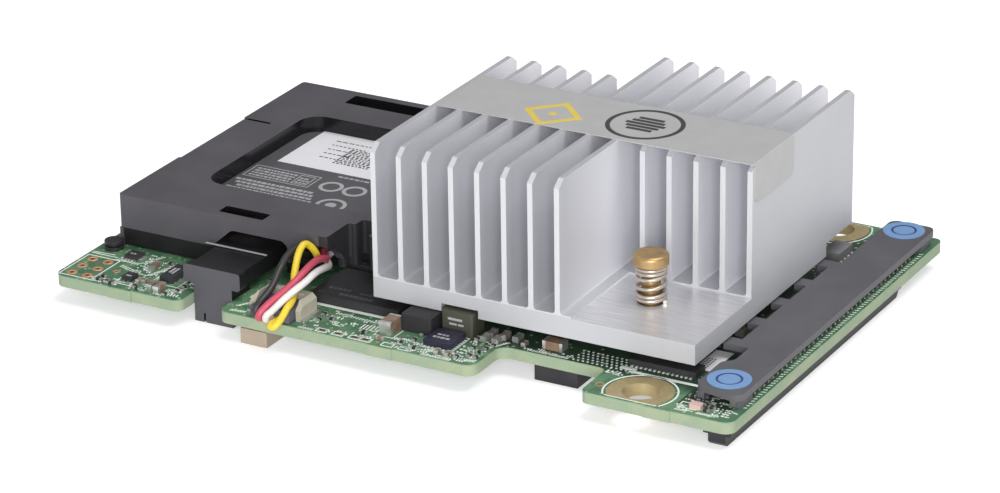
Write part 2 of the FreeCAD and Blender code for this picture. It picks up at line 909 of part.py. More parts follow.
def make_sticker():
    return block(cover_left + sticker_left, cover_front + sticker_front, battery_top,
                 sticker_length, sticker_depth, sticker_thickness)


# Board header: two cheeks and a back wall round the plug, open to the front and the top.
def make_header():
    outline = [
        (header_left, header_front, 0),
        (header_left + header_cheek, header_front, 0),
        (header_left + header_cheek, header_front + header_depth - header_back, 0),
        (header_left + header_width - header_cheek, header_front + header_depth - header_back, 0),
        (header_left + header_width - header_cheek, header_front, 0),
        (header_left + header_width, header_front, 0),
        (header_left + header_width, header_front + header_depth, 0),
        (header_left, header_front + header_depth, 0),
    ]
    body = plan(outline, top, header_height)
    slope = [
        (header_front - reach, top + header_height + reach, 0),
        (header_front - reach, top + header_height - header_slope, 0),
        (header_front, top + header_height - header_slope, 0),
        (header_front + header_slope, top + header_height, 0),
        (header_front + header_slope, top + header_height + reach, 0),
    ]
    tools = [side(slope, header_left - reach, header_width + 2 * reach)]
    for edge, inward in ((header_left, 1), (header_left + header_width, -1)):
        bevel = [
            (edge - inward * reach, top + header_height - header_chamfer, 0),
            (edge, top + header_height - header_chamfer, 0),
            (edge + inward * header_chamfer, top + header_height, 0),
            (edge + inward * header_chamfer, top + header_height + reach, 0),
            (edge - inward * reach, top + header_height + reach, 0),
        ]
        tools.append(front(bevel, header_front - reach, header_depth + 2 * reach))
    return less(body, tools)


def make_solder_tabs():
    tabs = []
    for left in (header_left - solder_tab_width, header_left + header_width):
        tabs.append(slab(left, header_front - plug_clearance, top, solder_tab_width, solder_tab_length,
                         solder_tab_height, part_corner))
    return Part.makeCompound(tabs)


def make_plug():
    left = header_left + header_cheek + plug_clearance
    width = header_width - 2 * header_cheek - 2 * plug_clearance
    rear = header_front + header_depth - header_back - plug_clearance
    body = front(rectangle(left, left + width, top + plug_floor, top + plug_floor + plug_height, plug_corner),
                 plug_front, rear - plug_front)
    sockets = []
    for index in range(wire_count):
        x = wire_first + index * wire_pitch
        socket = Part.makeCylinder(wire_diameter / 2 + wire_socket_gap, wire_entry + reach,
                                   vec(x, plug_front - reach, wire_z), vec(0, 1, 0))
        sockets.append(socket)
    return less(body, sockets)


# Touch strip: a plate on short legs with a toothed inner edge and two finger points.
def make_strip():
    end_left = strip_right - strip_end_width
    neck_left = strip_right - strip_neck_width
    main_left = strip_right - strip_main_width
    rear_left = strip_right - strip_rear_width
    tooth_left = main_left - strip_tooth_reach
    last = strip_tooth_count - 1
    outline = [
        (end_left, strip_front + strip_corner, strip_corner),
        (strip_right, strip_front, strip_corner),
        (strip_right, strip_rear, strip_corner),
        (rear_left, strip_rear, strip_corner),
        (rear_left, strip_main_front + last * strip_tooth_pitch + strip_tooth_width, 0),
    ]
    for index in range(last, -1, -1):
        near = strip_main_front + index * strip_tooth_pitch
        far = near + strip_tooth_width
        if index < last:
            outline.append((main_left, far, 0))
        outline.append((tooth_left, far, strip_edge))
        outline.append((tooth_left, near, strip_edge))
        if index > 0:
            outline.append((main_left, near, 0))
    outline.extend([
        (neck_left, strip_main_front, 0),
        (neck_left, strip_front + strip_end_length + 2 * strip_corner, strip_corner),
        (end_left, strip_front + strip_end_length + strip_corner, strip_corner),
    ])
    pieces = [plan(outline, strip_floor, strip_thickness)]
    near = strip_front + strip_leg_front
    far = strip_rear - strip_leg_front - strip_leg_length
    for left, y in ((end_left, near), (rear_left, far)):
        for x in (left + strip_leg_inset, strip_right - strip_leg_inset - strip_leg_width):
            pieces.append(block(x, y, top, strip_leg_width, strip_leg_length, strip_underside + small))
    return joined(pieces)


def make_touch_point(x, y):
    disc = rod(x, y, strip_top, touch_radius, touch_thickness)
    ring_floor = strip_top + touch_thickness - touch_ring_depth
    ring = rod(x, y, ring_floor, touch_ring_radius, reach)
    core = rod(x, y, ring_floor - small, touch_ring_radius - touch_ring_width, 2 * reach)
    return disc.cut(ring.cut(core))


# Board-to-board connector under the touch strip: a flanged bar with a long contact slot.
def make_connector():
    flange_right = board_length - connector_inset
    flange_left = flange_right - connector_flange_width
    body_right = flange_right - connector_body_inset
    body_left = body_right - connector_body_width
    flange = slab(flange_left, connector_front, -connector_flange_height, connector_flange_width,
                  connector_length, connector_flange_height, connector_corner)
    profile = [
        (connector_front, -connector_flange_height + small, 0),
        (connector_front, foot_floor + connector_chamfer, 0),
        (connector_front + connector_chamfer, foot_floor, 0),
        (connector_front + connector_length - connector_chamfer, foot_floor, 0),
        (connector_front + connector_length, foot_floor + connector_chamfer, 0),
        (connector_front + connector_length, -connector_flange_height + small, 0),
    ]
    body = side(profile, body_left, connector_body_width)
    slot_left = (body_left + body_right - connector_slot_width) / 2
    slot = block(slot_left, connector_front + connector_slot_end, foot_floor - reach, connector_slot_width,
                 connector_length - 2 * connector_slot_end,
                 underside_depth - connector_slot_roof + reach)
    return less(joined([flange, body]), [slot])


# Block-shaped part under the board with a metal terminal at each end.
def make_underside_part(left, near, width, depth):
    return block(left, near, foot_floor, width, depth, underside_depth - terminal_height / 2)


def make_terminals(left, near, width, depth):
    tabs = []
    for x in (left + terminal_reach, left + width - 3 * terminal_reach):
        tabs.append(block(x, near + terminal_reach, -terminal_height / 2, 2 * terminal_reach,
                          depth - 2 * terminal_reach, terminal_height / 2))
    return tabs


# Drum-core inductor: two flanges with a winding waist between them.
def make_round_inductor():
    waist = round_inductor_radius - round_inductor_flange
    lower = top + round_inductor_flange
    upper = top + round_inductor_height - round_inductor_flange
    corners = [
        (0, top, 0),
        (round_inductor_radius, top, round_inductor_round),
        (round_inductor_radius, lower, round_inductor_round),
        (waist, lower, 0),
        (waist, upper, 0),
        (round_inductor_radius, upper, round_inductor_round),
        (round_inductor_radius, top + round_inductor_height, round_inductor_round),
        (0, top + round_inductor_height, 0),
    ]
    return turned(round_inductor_x, round_inductor_y, corners)


# Chip body with gull-wing leads along the chosen sides.
def make_chip(left, near, width, depth, height, lead_count, sides):
    body = block(left, near, top + chip_standoff, width, depth, height - chip_standoff)
    leads = []
    for index in range(lead_count):
        along_y = near + depth * (index + 0.5) / lead_count - chip_lead_width / 2
        along_x = left + width * (index + 0.5) / lead_count - chip_lead_width / 2
        if "x" in sides:
            for x in (left - chip_lead_reach, left + width):
                leads.append(block(x, along_y, top, chip_lead_reach, chip_lead_width, chip_lead_height))
        if "y" in sides:
            for y in (near - chip_lead_reach, near + depth):
                leads.append(block(along_x, y, top, chip_lead_width, chip_lead_reach, chip_lead_height))
    return body, leads


# Ceramic capacitor: a body between two slightly larger metal end caps.
def make_capacitor(left, near, width, depth, height):
    lengthwise = width >= depth
    if lengthwise:
        body = block(left + capacitor_end, near + capacitor_swell, top + capacitor_swell,
                     width - 2 * capacitor_end, depth - 2 * capacitor_swell, height - 2 * capacitor_swell)
        caps = [block(x, near, top, capacitor_end, depth, height) for x in (left, left + width - capacitor_end)]
    else:
        body = block(left + capacitor_swell, near + capacitor_end, top + capacitor_swell,
                     width - 2 * capacitor_swell, depth - 2 * capacitor_end, height - 2 * capacitor_swell)
        caps = [block(left, y, top, width, capacitor_end, height) for y in (near, near + depth - capacitor_end)]
    return body, caps


save("circuit_board", make_board())
save("front_hole_plating", make_plating(hole_front_y))
save("rear_hole_plating", make_plating(hole_rear_y))
save("heatsink", make_heatsink())
save("heatsink_label", make_heatsink_label())
save("spring_screws", Part.makeCompound([make_screw(x, y) for x, y in screw_places]))
save("compression_springs", Part.makeCompound([make_spring(x, y) for x, y in screw_places]))
save("screw_nuts", Part.makeCompound([make_nut(x, y) for x, y in screw_places]))
save("controller_substrate", slab(package_x - package_side / 2, package_y - package_side / 2, top,
                                  package_side, package_side, package_height, package_corner))
save("controller_lid", slab(package_x - lid_side / 2, package_y - lid_side / 2, lid_floor,
                            lid_side, lid_side, lid_height, lid_corner))
save("thermal_pad", slab(package_x - pad_side / 2, package_y - pad_side / 2, pad_floor,
                         pad_side, pad_side, pad_height, package_corner))
chips = []
for index in range(memory_count):
    chips.append(block(memory_left, memory_front + index * memory_pitch, top, memory_length, memory_depth, memory_height))
save("memory_chips", Part.makeCompound(chips))
save("battery_cover", make_cover())
save("battery_tray", make_tray())
save("battery_pack", make_battery())
save("battery_sticker", make_sticker())
save("battery_header", make_header())
save("header_tabs", make_solder_tabs())
wire_z = top + wire_floor + wire_diameter / 2
save("battery_plug", make_plug())

# Each lead leaves the plug's front, turns back over the plug and runs into the battery cover.
wire_start = plug_front + wire_entry - plug_clearance
battery_face = cover_front + lead_notch_depth + lead_step_depth + cover_wall + battery_clearance
red_start = wire_first + wire_pitch
white_start = red_start + wire_pitch
yellow_start = white_start + wire_pitch
wire_routes = {
    "wire_black": (
        (wire_first, wire_start, wire_z), (wire_first, -0.3, wire_z), (32.0, -0.7, 3.0), (32.25, 0.2, 4.05),
        (32.45, 1.5, 4.5), (32.55, 3.1, 5.35), (32.35, 4.8, 6.6), (31.85, 7.8, 7.7), (31.95, 10.1, 7.9),
        (31.7, 11.2, 7.1), (31.4, 12.2, 6.1), (31.2, 13.8, 5.2), (31.2, 16.0, 4.8), (31.2, battery_face, 4.8),
    ),
    "wire_red": (
        (red_start, wire_start, wire_z), (red_start, -0.9, wire_z), (32.95, -1.4, 3.0), (33.75, -0.1, 4.2),
        (34.8, 1.5, 5.2), (35.7, 3.5, 6.3), (35.9, 5.8, 7.1), (35.6, 8.5, 7.25), (35.35, 10.7, 6.75),
        (34.95, 12.8, 5.8), (33.3, 14.1, 5.75), (32.9, 15.9, 6.1), (32.9, battery_face, 6.1),
    ),
    "wire_white": (
        (white_start, wire_start, wire_z), (white_start, -0.9, wire_z), (33.95, -1.3, 2.9), (34.65, -0.4, 3.6),
        (35.5, 0.8, 4.75), (36.4, 2.3, 5.75), (37.0, 4.0, 6.35), (37.1, 6.2, 6.85), (36.5, 9.5, 6.1),
        (35.2, 12.8, 4.8), (33.9, 14.2, 4.75), (32.9, 15.8, 4.8), (32.9, battery_face, 4.8),
    ),
    "wire_yellow": (
        (yellow_start, wire_start, wire_z), (yellow_start, -0.9, wire_z), (34.95, -1.8, 2.05),
        (35.5, -2.05, 1.9), (36.0, -1.6, 2.35), (36.25, -0.7, 3.15), (36.35, 0.25, 3.98), (36.2, 1.5, 4.15),
        (35.75, 2.9, 4.5), (35.1, 4.2, 5.3), (34.35, 5.3, 5.95), (33.6, 7.1, 7.0), (33.1, 8.7, 8.05),
        (33.0, 10.3, 8.7), (33.55, 11.3, 7.75), (34.0, 11.9, 6.3), (32.8, 13.3, 5.75), (31.2, 15.4, 6.1),
        (31.2, battery_face, 6.1),
    ),
}
for name, route in wire_routes.items():
    path = rounded_path([vec(*point) for point in route])
    print(name, "length", round(path.Length, 2))
    save(name, tube(path, wire_diameter))

save("touch_strip", make_strip())
save("touch_points", Part.makeCompound([make_touch_point(x, y) for x, y in touch_places]))
save("mezzanine_connector", make_connector())
save("tantalum_capacitor", make_underside_part(tantalum_left, tantalum_front, tantalum_width, tantalum_depth))
save("power_choke", make_underside_part(choke_left, choke_front, choke_width, choke_depth))
save("underside_terminals", Part.makeCompound(
    make_terminals(tantalum_left, tantalum_front, tantalum_width, tantalum_depth)
    + make_terminals(choke_left, choke_front, choke_width, choke_depth)
))
save("round_inductor", make_round_inductor())
black_inductor_front = heatsink_front + black_inductor_sunk - black_inductor_depth
black_inductor_height = heatsink_floor - inductor_gap - top
save("black_inductor", slab(black_inductor_left, black_inductor_front, top, black_inductor_width,
                            black_inductor_depth, black_inductor_height, part_corner))
relief_inductor_front = heatsink_front + relief_inductor_sunk - relief_inductor_depth
save("relief_inductor", slab(relief_inductor_left, relief_inductor_front, top, relief_inductor_width,
                             relief_inductor_depth, relief_inductor_height, part_corner))
flash_body, flash_leads = make_chip(flash_chip_left, flash_chip_front, flash_chip_width, flash_chip_depth,
                                    flash_chip_height, flash_lead_count, "x")
quad_body, quad_leads = make_chip(quad_chip_left, quad_chip_front, quad_chip_side, quad_chip_side,
                                  quad_chip_height, quad_lead_count, "xy")
regulator_body, regulator_leads = make_chip(regulator_left, regulator_front, regulator_width, regulator_depth,
                                            regulator_height, regulator_lead_count, "y")
save("flash_chip", flash_body)
save("quad_chip", quad_body)
save("regulator", regulator_body)
save("chip_leads", Part.makeCompound(flash_leads + quad_leads + regulator_leads))
save("power_chip", block(power_chip_left, power_chip_front, top, power_chip_side, power_chip_side, power_chip_height))
save("low_bar", block(low_bar_left, low_bar_front, top, low_bar_width, low_bar_depth, low_bar_height))
save("rear_chip", block(board_length - rear_chip_from_right, rear_chip_front, top, rear_chip_width,
                        rear_chip_depth, rear_chip_height))
save("status_lamp", slab(board_length - lamp_from_right, lamp_front, top, lamp_width, lamp_depth, lamp_height, part_corner))
capacitor_bodies = []
capacitor_caps = []
for place in capacitors:
    body, caps = make_capacitor(*place)
    capacitor_bodies.append(body)
    capacitor_caps.extend(caps)
save("ceramic_capacitors", Part.makeCompound(capacitor_bodies))
save("capacitor_ends", Part.makeCompound(capacitor_caps))
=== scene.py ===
import math
import random
import bpy
import bmesh
from mathutils import Matrix, Vector


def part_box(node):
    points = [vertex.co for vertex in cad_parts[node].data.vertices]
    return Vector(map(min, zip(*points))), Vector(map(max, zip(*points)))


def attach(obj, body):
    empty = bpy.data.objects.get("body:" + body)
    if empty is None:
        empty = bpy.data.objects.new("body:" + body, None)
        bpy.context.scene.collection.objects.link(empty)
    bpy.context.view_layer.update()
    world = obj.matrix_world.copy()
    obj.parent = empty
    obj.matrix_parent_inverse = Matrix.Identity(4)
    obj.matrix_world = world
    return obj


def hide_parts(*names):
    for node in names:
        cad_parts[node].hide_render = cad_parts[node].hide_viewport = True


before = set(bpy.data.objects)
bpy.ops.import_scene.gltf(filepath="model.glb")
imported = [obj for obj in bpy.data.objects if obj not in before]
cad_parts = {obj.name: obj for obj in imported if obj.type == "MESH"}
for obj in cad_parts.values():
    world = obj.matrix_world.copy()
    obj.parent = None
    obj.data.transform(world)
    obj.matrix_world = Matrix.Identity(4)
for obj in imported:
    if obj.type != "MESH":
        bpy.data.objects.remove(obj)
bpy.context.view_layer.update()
mm = 0.001
random.seed(7)

# the board's own front left corner, behind its break-off tabs, is the zero of every place below
boardLow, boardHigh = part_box("circuit_board")
zeroX = boardLow[0]
zeroY = boardLow[1] + 0.15 * mm
boardTop = boardHigh[2] / mm


def at(x, y, z=0.0):                      # board millimetres to row metres
    return Vector((zeroX + x * mm, zeroY + y * mm, z * mm))


def topOf(node):                          # height of a node's top in millimetres
    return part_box(node)[1][2] / mm


print("stage: frame loaded")

cameraView = {
    "place": (295.7, -404.3, 217.2),      # millimetres from the board's corner
    "turn": 29.38,
    "height": 23.14,
    "roll": -0.81,
    "lens": 146.9,
}


def makeCamera():
    turn = math.radians(cameraView["turn"])
    height = math.radians(cameraView["height"])
    roll = math.radians(cameraView["roll"])
    back = Vector((math.sin(turn) * math.cos(height), -math.cos(turn) * math.cos(height), math.sin(height)))
    right = (-back).cross(Vector((0, 0, 1))).normalized()
    up = right.cross(-back).normalized()
    leanRight = right * math.cos(roll) + up * math.sin(roll)
    leanUp = up * math.cos(roll) - right * math.sin(roll)
    data = bpy.data.cameras.new("camera")
    data.lens = cameraView["lens"]
    data.sensor_width = 36.0
    data.clip_start = 0.01
    data.clip_end = 20.0
    camera = bpy.data.objects.new("camera", data)
    bpy.context.scene.collection.objects.link(camera)
    axes = Matrix((leanRight, leanUp, back)).transposed().to_4x4()
    camera.matrix_world = Matrix.Translation(at(*cameraView["place"])) @ axes
    bpy.context.scene.camera = camera


makeCamera()
print("stage: camera")


class Link:                               # one socket, with the arithmetic that the finishes use
    def __init__(self, graph, socket):
        self.graph = graph
        self.socket = socket

    def calc(self, operation, *values):
        return self.graph.add("ShaderNodeMath", {"operation": operation}, dict(enumerate(values)))

    def __add__(self, other):
        return self.calc("ADD", self, other)

    def __radd__(self, other):
        return self.calc("ADD", other, self)

    def __sub__(self, other):
        return self.calc("SUBTRACT", self, other)

    def __rsub__(self, other):
        return self.calc("SUBTRACT", other, self)

    def __mul__(self, other):
        return self.calc("MULTIPLY", self, other)

    def __rmul__(self, other):
        return self.calc("MULTIPLY", other, self)

    def __gt__(self, other):
        return self.calc("GREATER_THAN", self, other)

    def __lt__(self, other):
        return self.calc("LESS_THAN", self, other)

    def clip(self):
        return self.calc("MINIMUM", self.calc("MAXIMUM", self, 0.0), 1.0)

    def ramp(self, start, rise):          # 0 up to start, then up to 1; a negative rise runs the other way
        return ((self - start) * rise).clip()

    def size(self):
        return self.calc("ABSOLUTE", self)

    def root(self):
        return self.calc("SQRT", self)

    def wave(self, period):               # 1 to -1 and back over one period
        return self.calc("SINE", self * (2 * math.pi / period))

    def between(self, low, high):
        return (self > low) * (self < high)

    def other(self, output):              # another output of the same node
        return Link(self.graph, self.socket.node.outputs[output])


class Finish:                             # one material; x, y and z are board millimetres
    def __init__(self, name):
        self.material = bpy.data.materials.new(name)
        self.material.use_nodes = True
        self.tree = self.material.node_tree
        self.shader = self.tree.nodes["Principled BSDF"]
        self.place = self.add("ShaderNodeTexCoord", {}, {}, "Object")
        axes = self.add("ShaderNodeSeparateXYZ", {}, {0: self.place})
        self.x = axes * (1 / mm) - zeroX / mm
        self.y = axes.other(1) * (1 / mm) - zeroY / mm
        self.z = axes.other(2) * (1 / mm)

    def add(self, kind, settings=None, inputs=None, output=0):
        node = self.tree.nodes.new(kind)
        for key, value in (settings or {}).items():
            setattr(node, key, value)
        for key, value in (inputs or {}).items():
            self.feed(node.inputs[key], value)
        return Link(self, node.outputs[output])

    def feed(self, socket, value):
        if isinstance(value, Link):
            self.tree.links.new(value.socket, socket)
        elif socket.type == "RGBA" and len(value) == 3:
            socket.default_value = (*value, 1.0)
        else:
            socket.default_value = value

    def noise(self, size, detail=2.0, stretch=(1, 1, 1)):   # size of a grain in millimetres
        spot = self.add("ShaderNodeMapping", {}, {"Vector": self.place, "Scale": stretch})
        inputs = {"Vector": spot, "Scale": 1 / (size * mm), "Detail": detail}
        return self.add("ShaderNodeTexNoise", {}, inputs)

    def cells(self, size, settings, output):                # size of a cell in millimetres
        inputs = {"Vector": self.place, "Scale": 1 / (size * mm)}
        return self.add("ShaderNodeTexVoronoi", settings, inputs, output)

    def within(self, left, right, front, rear):             # 1 inside a field of the board
        return self.x.between(left, right) * self.y.between(front, rear)

    def blend(self, factor, first, second, mode="MIX"):
        settings = {"data_type": "RGBA", "blend_type": mode}
        return self.add("ShaderNodeMix", settings, {0: factor, 6: first, 7: second}, 2)

    def choose(self, factor, first, second):
        return self.add("ShaderNodeMix", {"data_type": "FLOAT"}, {0: factor, 2: first, 3: second})

    def facing(self, axis):               # how far the surface looks along an axis
        normal = self.add("ShaderNodeNewGeometry", {}, {}, "Normal")
        return self.add("ShaderNodeSeparateXYZ", {}, {0: normal}, axis)

    def bump(self, height, depth, strength=1.0):            # depth in millimetres
        inputs = {"Strength": strength, "Distance": depth * mm, "Height": height}
        self.set("Normal", self.add("ShaderNodeBump", {}, inputs))

    def set(self, socket, value):
        self.feed(self.shader.inputs[socket], value)


def mouldedPlastic(name, look):           # fine spark-eroded grain with slow cloudy wear
    finish = Finish(name)
    grain = finish.noise(look.get("grain", 0.16), 3.0)
    cloud = finish.noise(look.get("cloud", 7.0), 2.0)
    finish.set("Base Color", finish.blend(cloud.ramp(0.35, 2.2), look["dark"], look["light"]))
    finish.set("Roughness", look["rough"] + (grain - 0.5) * 0.18 + (cloud - 0.5) * 0.12)
    finish.bump(grain, look.get("bump", 0.02), 0.6)
    finish.set("Specular IOR Level", look.get("specular", 0.35))
    return finish.material


def coverPlastic(name, look):             # matt shell whose window wall and slot walls are left glossy, with painted shade darkening those recesses
    finish = Finish(name)
    grain = finish.noise(0.16, 3.0)
    cloud = finish.noise(9.0, 2.0)
    upright = 1.0 - (finish.facing(2).size() > 0.5)
    window = finish.within(*look["window"]) * upright
    # painted shade: the upright faces in the lead recess are darkened, at a lower share
    slots = finish.within(*look["leadRecess"]) * upright * 0.7
    for slot in look["slots"]:
        slots = slots + finish.within(*slot)
    glossAndShade = (window + slots * (finish.z < look["slotTop"])).clip()
    shell = finish.blend(cloud.ramp(0.35, 2.2), look["dark"], look["light"])
    # painted shade: the glossy recess faces take a near-black colour, real gloss with shade painted in
    finish.set("Base Color", finish.blend(glossAndShade, shell, look["gloss"]))
    rough = look["rough"] + (grain - 0.5) * 0.16 + (cloud - 0.5) * 0.1
    finish.set("Roughness", finish.choose(glossAndShade, rough, 0.2))
    finish.bump(grain * (1.0 - glossAndShade * 0.8), 0.02, 0.6)
    finish.set("Specular IOR Level", 0.35)
    return finish.material


def trayPlastic(name, look):              # deep black moulding with a matt front on its arm and foot, the front lighter as painted light, a painted highlight on the latch edge
    finish = Finish(name)
    grain = finish.noise(0.16, 3.0)
    cloud = finish.noise(6.0, 2.0)
    # painted light: front faces of the arm and foot take a lighter colour as if lit, and the rest stays dark
    # as if shaded
    mattLitFront = (finish.facing(1) < -0.5) * (finish.y < look["frontEnd"])
    shell = finish.blend(cloud, look["dark"], look["light"])
    # painted highlight: a bright band along the top of the latch edge
    ridgeHighlight = (finish.z > look["ridgeFloor"]) * finish.y.between(*look["ridgeSpan"])
    shell = finish.blend(ridgeHighlight, shell, look["ridgeHighlight"])
    finish.set("Base Color", finish.blend(mattLitFront, shell, look["front"]))
    finish.set("Roughness", finish.choose(mattLitFront, 0.32 + (grain - 0.5) * 0.2, 0.5 + (grain - 0.5) * 0.2))
    finish.bump(grain, 0.015, 0.5)
    finish.set("Specular IOR Level", 0.3)
    return finish.material


def drawnAluminium(name, look):           # lines drawn along Y by the die, cutter swirls on the milled floors; painted light on the fin sides and a painted highlight on the fin fronts
    finish = Finish(name)
    lines = finish.noise(0.22, 3.0, (1.0, 0.015, 1.0))
    fine = finish.noise(0.07, 2.0, (1.0, 0.03, 1.0))
    cloud = finish.noise(8.0, 2.0)
    up = finish.facing(2) > 0.9
    swirl = finish.noise(0.3, 3.0, (0.06, 1.0, 1.0))
    mark = finish.choose(up, lines * 0.6 + fine * 0.4, swirl)
    grain = mark * 0.6 + cloud * 0.4
    # painted light: the fin side faces get a lighter colour, lighter still towards the rear, to lift the
    # shade in the channels
    paintedWallLight = (finish.facing(0).size() > 0.7) * (finish.x < look["outer"])
    # painted highlight: the front faces above the shelf get a brighter colour
    ends = (finish.facing(1) < -0.6) * (finish.z > look["shelf"])
    colour = finish.blend(grain, look["dark"], look["light"])
    deep = finish.y.ramp(*look["paintedDeepLightRamp"])
    colour = finish.blend(paintedWallLight, colour, finish.blend(deep, look["paintedWallLight"], look["deep"]))
    colour = finish.blend(ends, colour, look["ends"])
    floors = up * (finish.z < look["shelf"] + 0.1)
    cut = finish.blend(swirl.ramp(0.4, 4.0), look["milledDark"], look["milled"])
    finish.set("Base Color", finish.blend(floors, colour, cut))
    finish.set("Roughness", look["rough"] - floors * 0.16 + (mark - 0.5) * 0.16 + (cloud - 0.5) * 0.1)
    finish.set("Metallic", look["metal"] + floors * 0.25)
    finish.bump(mark, 0.006, 0.5)
    return finish.material


def touchPlastic(name, look):             # blue finger point with painted shade in a ring for the groove round its middle
    finish = Finish(name)
    grain = finish.noise(0.16, 3.0)
    cloud = finish.noise(3.0, 2.0)
    colour = finish.blend(cloud, look["dark"], look["light"])
    for x, y in look["places"]:
        acrossX = finish.x - x
        acrossY = finish.y - y
        away = (acrossX * acrossX + acrossY * acrossY).root()
        # painted shade: a dark ring between the inner and outer radius
        colour = finish.blend(away.between(look["inner"], look["outer"]), colour, look["paintedGrooveShade"])
    finish.set("Base Color", colour)
    finish.set("Roughness", 0.45 + (grain - 0.5) * 0.15)
    finish.bump(grain, 0.008, 0.5)
    finish.set("Specular IOR Level", 0.3)
    return finish.material


def plainMetal(name, look):               # plated or turned metal with faint handling marks
    finish = Finish(name)
    cloud = finish.noise(look.get("cloud", 1.2), 3.0)
    scratch = finish.noise(0.25, 2.0, (1.0, 0.2, 4.0))
    finish.set("Base Color", finish.blend(cloud, look["dark"], look["light"]))
    finish.set("Roughness", look["rough"] + (cloud - 0.5) * 0.16 + (scratch - 0.5) * 0.1)
    finish.set("Metallic", look.get("metal", 1.0))
    finish.bump(scratch, 0.006, 0.4)
    return finish.material


def solderMask(name, look):               # green lacquer over copper runs, pale glass cloth at the cut edge, painted shade where parts overhang the board
    finish = Finish(name)
    top = finish.facing(2).size() > 0.5
    runs = finish.cells(1.7, {"feature": "F1", "distance": "MANHATTAN"}, "Color")
    pick = finish.add("ShaderNodeSeparateXYZ", {}, {0: runs})
    lineX = finish.x.wave(0.42) > 0.35
    lineY = finish.y.wave(0.42) > 0.35
    copper = finish.choose(pick > 0.5, lineX, lineY) * (pick.other(1) > 0.35)
    pour = finish.noise(3.2, 2.0) > 0.52
    cloud = finish.noise(4.0, 2.0)
    via = finish.cells(1.15, {"feature": "F1"}, "Distance")
    viaRing = (via < 0.19) * top
    # painted shade: the via centres take the dark lacquer colour for their holes
    viaHoleShade = (via < 0.08) * top
    lacquer = finish.blend((copper * 0.3 + pour * 0.3 + cloud * 0.35).clip(), look["dark"], look["light"])
    wander = finish.noise(1.5, 2.0) * 2.0
    inner = finish.x.ramp(*look["paintedShadeLeft"]) * finish.x.ramp(*look["paintedShadeRight"])   # painted shade: the lacquer darkens away from the rim, under the heatsink and touch strip and between the parts
    inner = inner * (finish.y + wander).ramp(*look["paintedShadeFront"]) * finish.y.ramp(*look["paintedShadeRear"])
    # painted shade too in the corner field under the front of the touch strip
    corner = finish.within(*look["corner"])
    lacquer = finish.blend((inner + corner).clip() * 0.8, lacquer, look["shade"])
    lacquer = finish.blend(viaRing * 0.8, lacquer, look["via"])
    lacquer = finish.blend(viaHoleShade, lacquer, look["dark"])
    cloth = finish.noise(0.12, 3.0, (1.0, 1.0, 5.0))
    layer = finish.z.wave(0.4) * 0.5 + 0.5
    edge = finish.blend((cloth * 0.7 + layer * 0.06).clip(), look["edgeDark"], look["edgeLight"])
    patch = finish.noise(2.6, 3.0)
    edge = finish.blend(patch.ramp(0.42, 3.0) * 0.5, edge, look["edgeWarm"])
    edge = finish.blend((finish.z > boardTop - 0.16) * 0.5, edge, look["light"])
    finish.set("Base Color", finish.blend(top, edge, lacquer))
    weave = finish.noise(0.35, 2.0)
    finish.set("Roughness", 0.62 - top * 0.22 + (weave - 0.5) * 0.15)
    finish.bump(copper * top * 0.8 + cloth * (1.0 - top), 0.015, 0.5)
    finish.set("Specular IOR Level", 0.35)
    return finish.material


def wireJacket(name, look):               # extruded jacket, a little dusty
    finish = Finish(name)
    fine = finish.noise(0.3, 2.0)
    finish.set("Base Color", finish.blend(fine, look["dark"], look["light"]))
    finish.set("Roughness", 0.42 + (fine - 0.5) * 0.2)
    finish.bump(fine, 0.01, 0.4)
    finish.set("Coat Weight", 0.05)
    return finish.material


def printedFilm(name, look):              # paper, foil or ink with a fine even tooth
    finish = Finish(name)
    fine = finish.noise(look.get("grain", 0.09), 3.0)
    cloud = finish.noise(3.0, 2.0)
    finish.set("Base Color", finish.blend(cloud * 0.6 + fine * 0.4, look["dark"], look["light"]))
    finish.set("Roughness", look["rough"] + (fine - 0.5) * 0.15)
    finish.set("Metallic", look.get("metal", 0.0))
    finish.bump(fine, 0.006, 0.5)
    finish.set("Specular IOR Level", look.get("specular", 0.3))
    return finish.material


def shade(red, green, blue):              # screen values 0 to 255 to linear light
    values = [value / 255 for value in (red, green, blue)]
    return tuple(value / 12.92 if value < 0.04045 else ((value + 0.055) / 1.055) ** 2.4 for value in values)


def tones(dark, light, rough, **more):    # dark and light tone as screen values, and the roughness
    return {"dark": shade(*dark), "light": shade(*light), "rough": rough, **more}


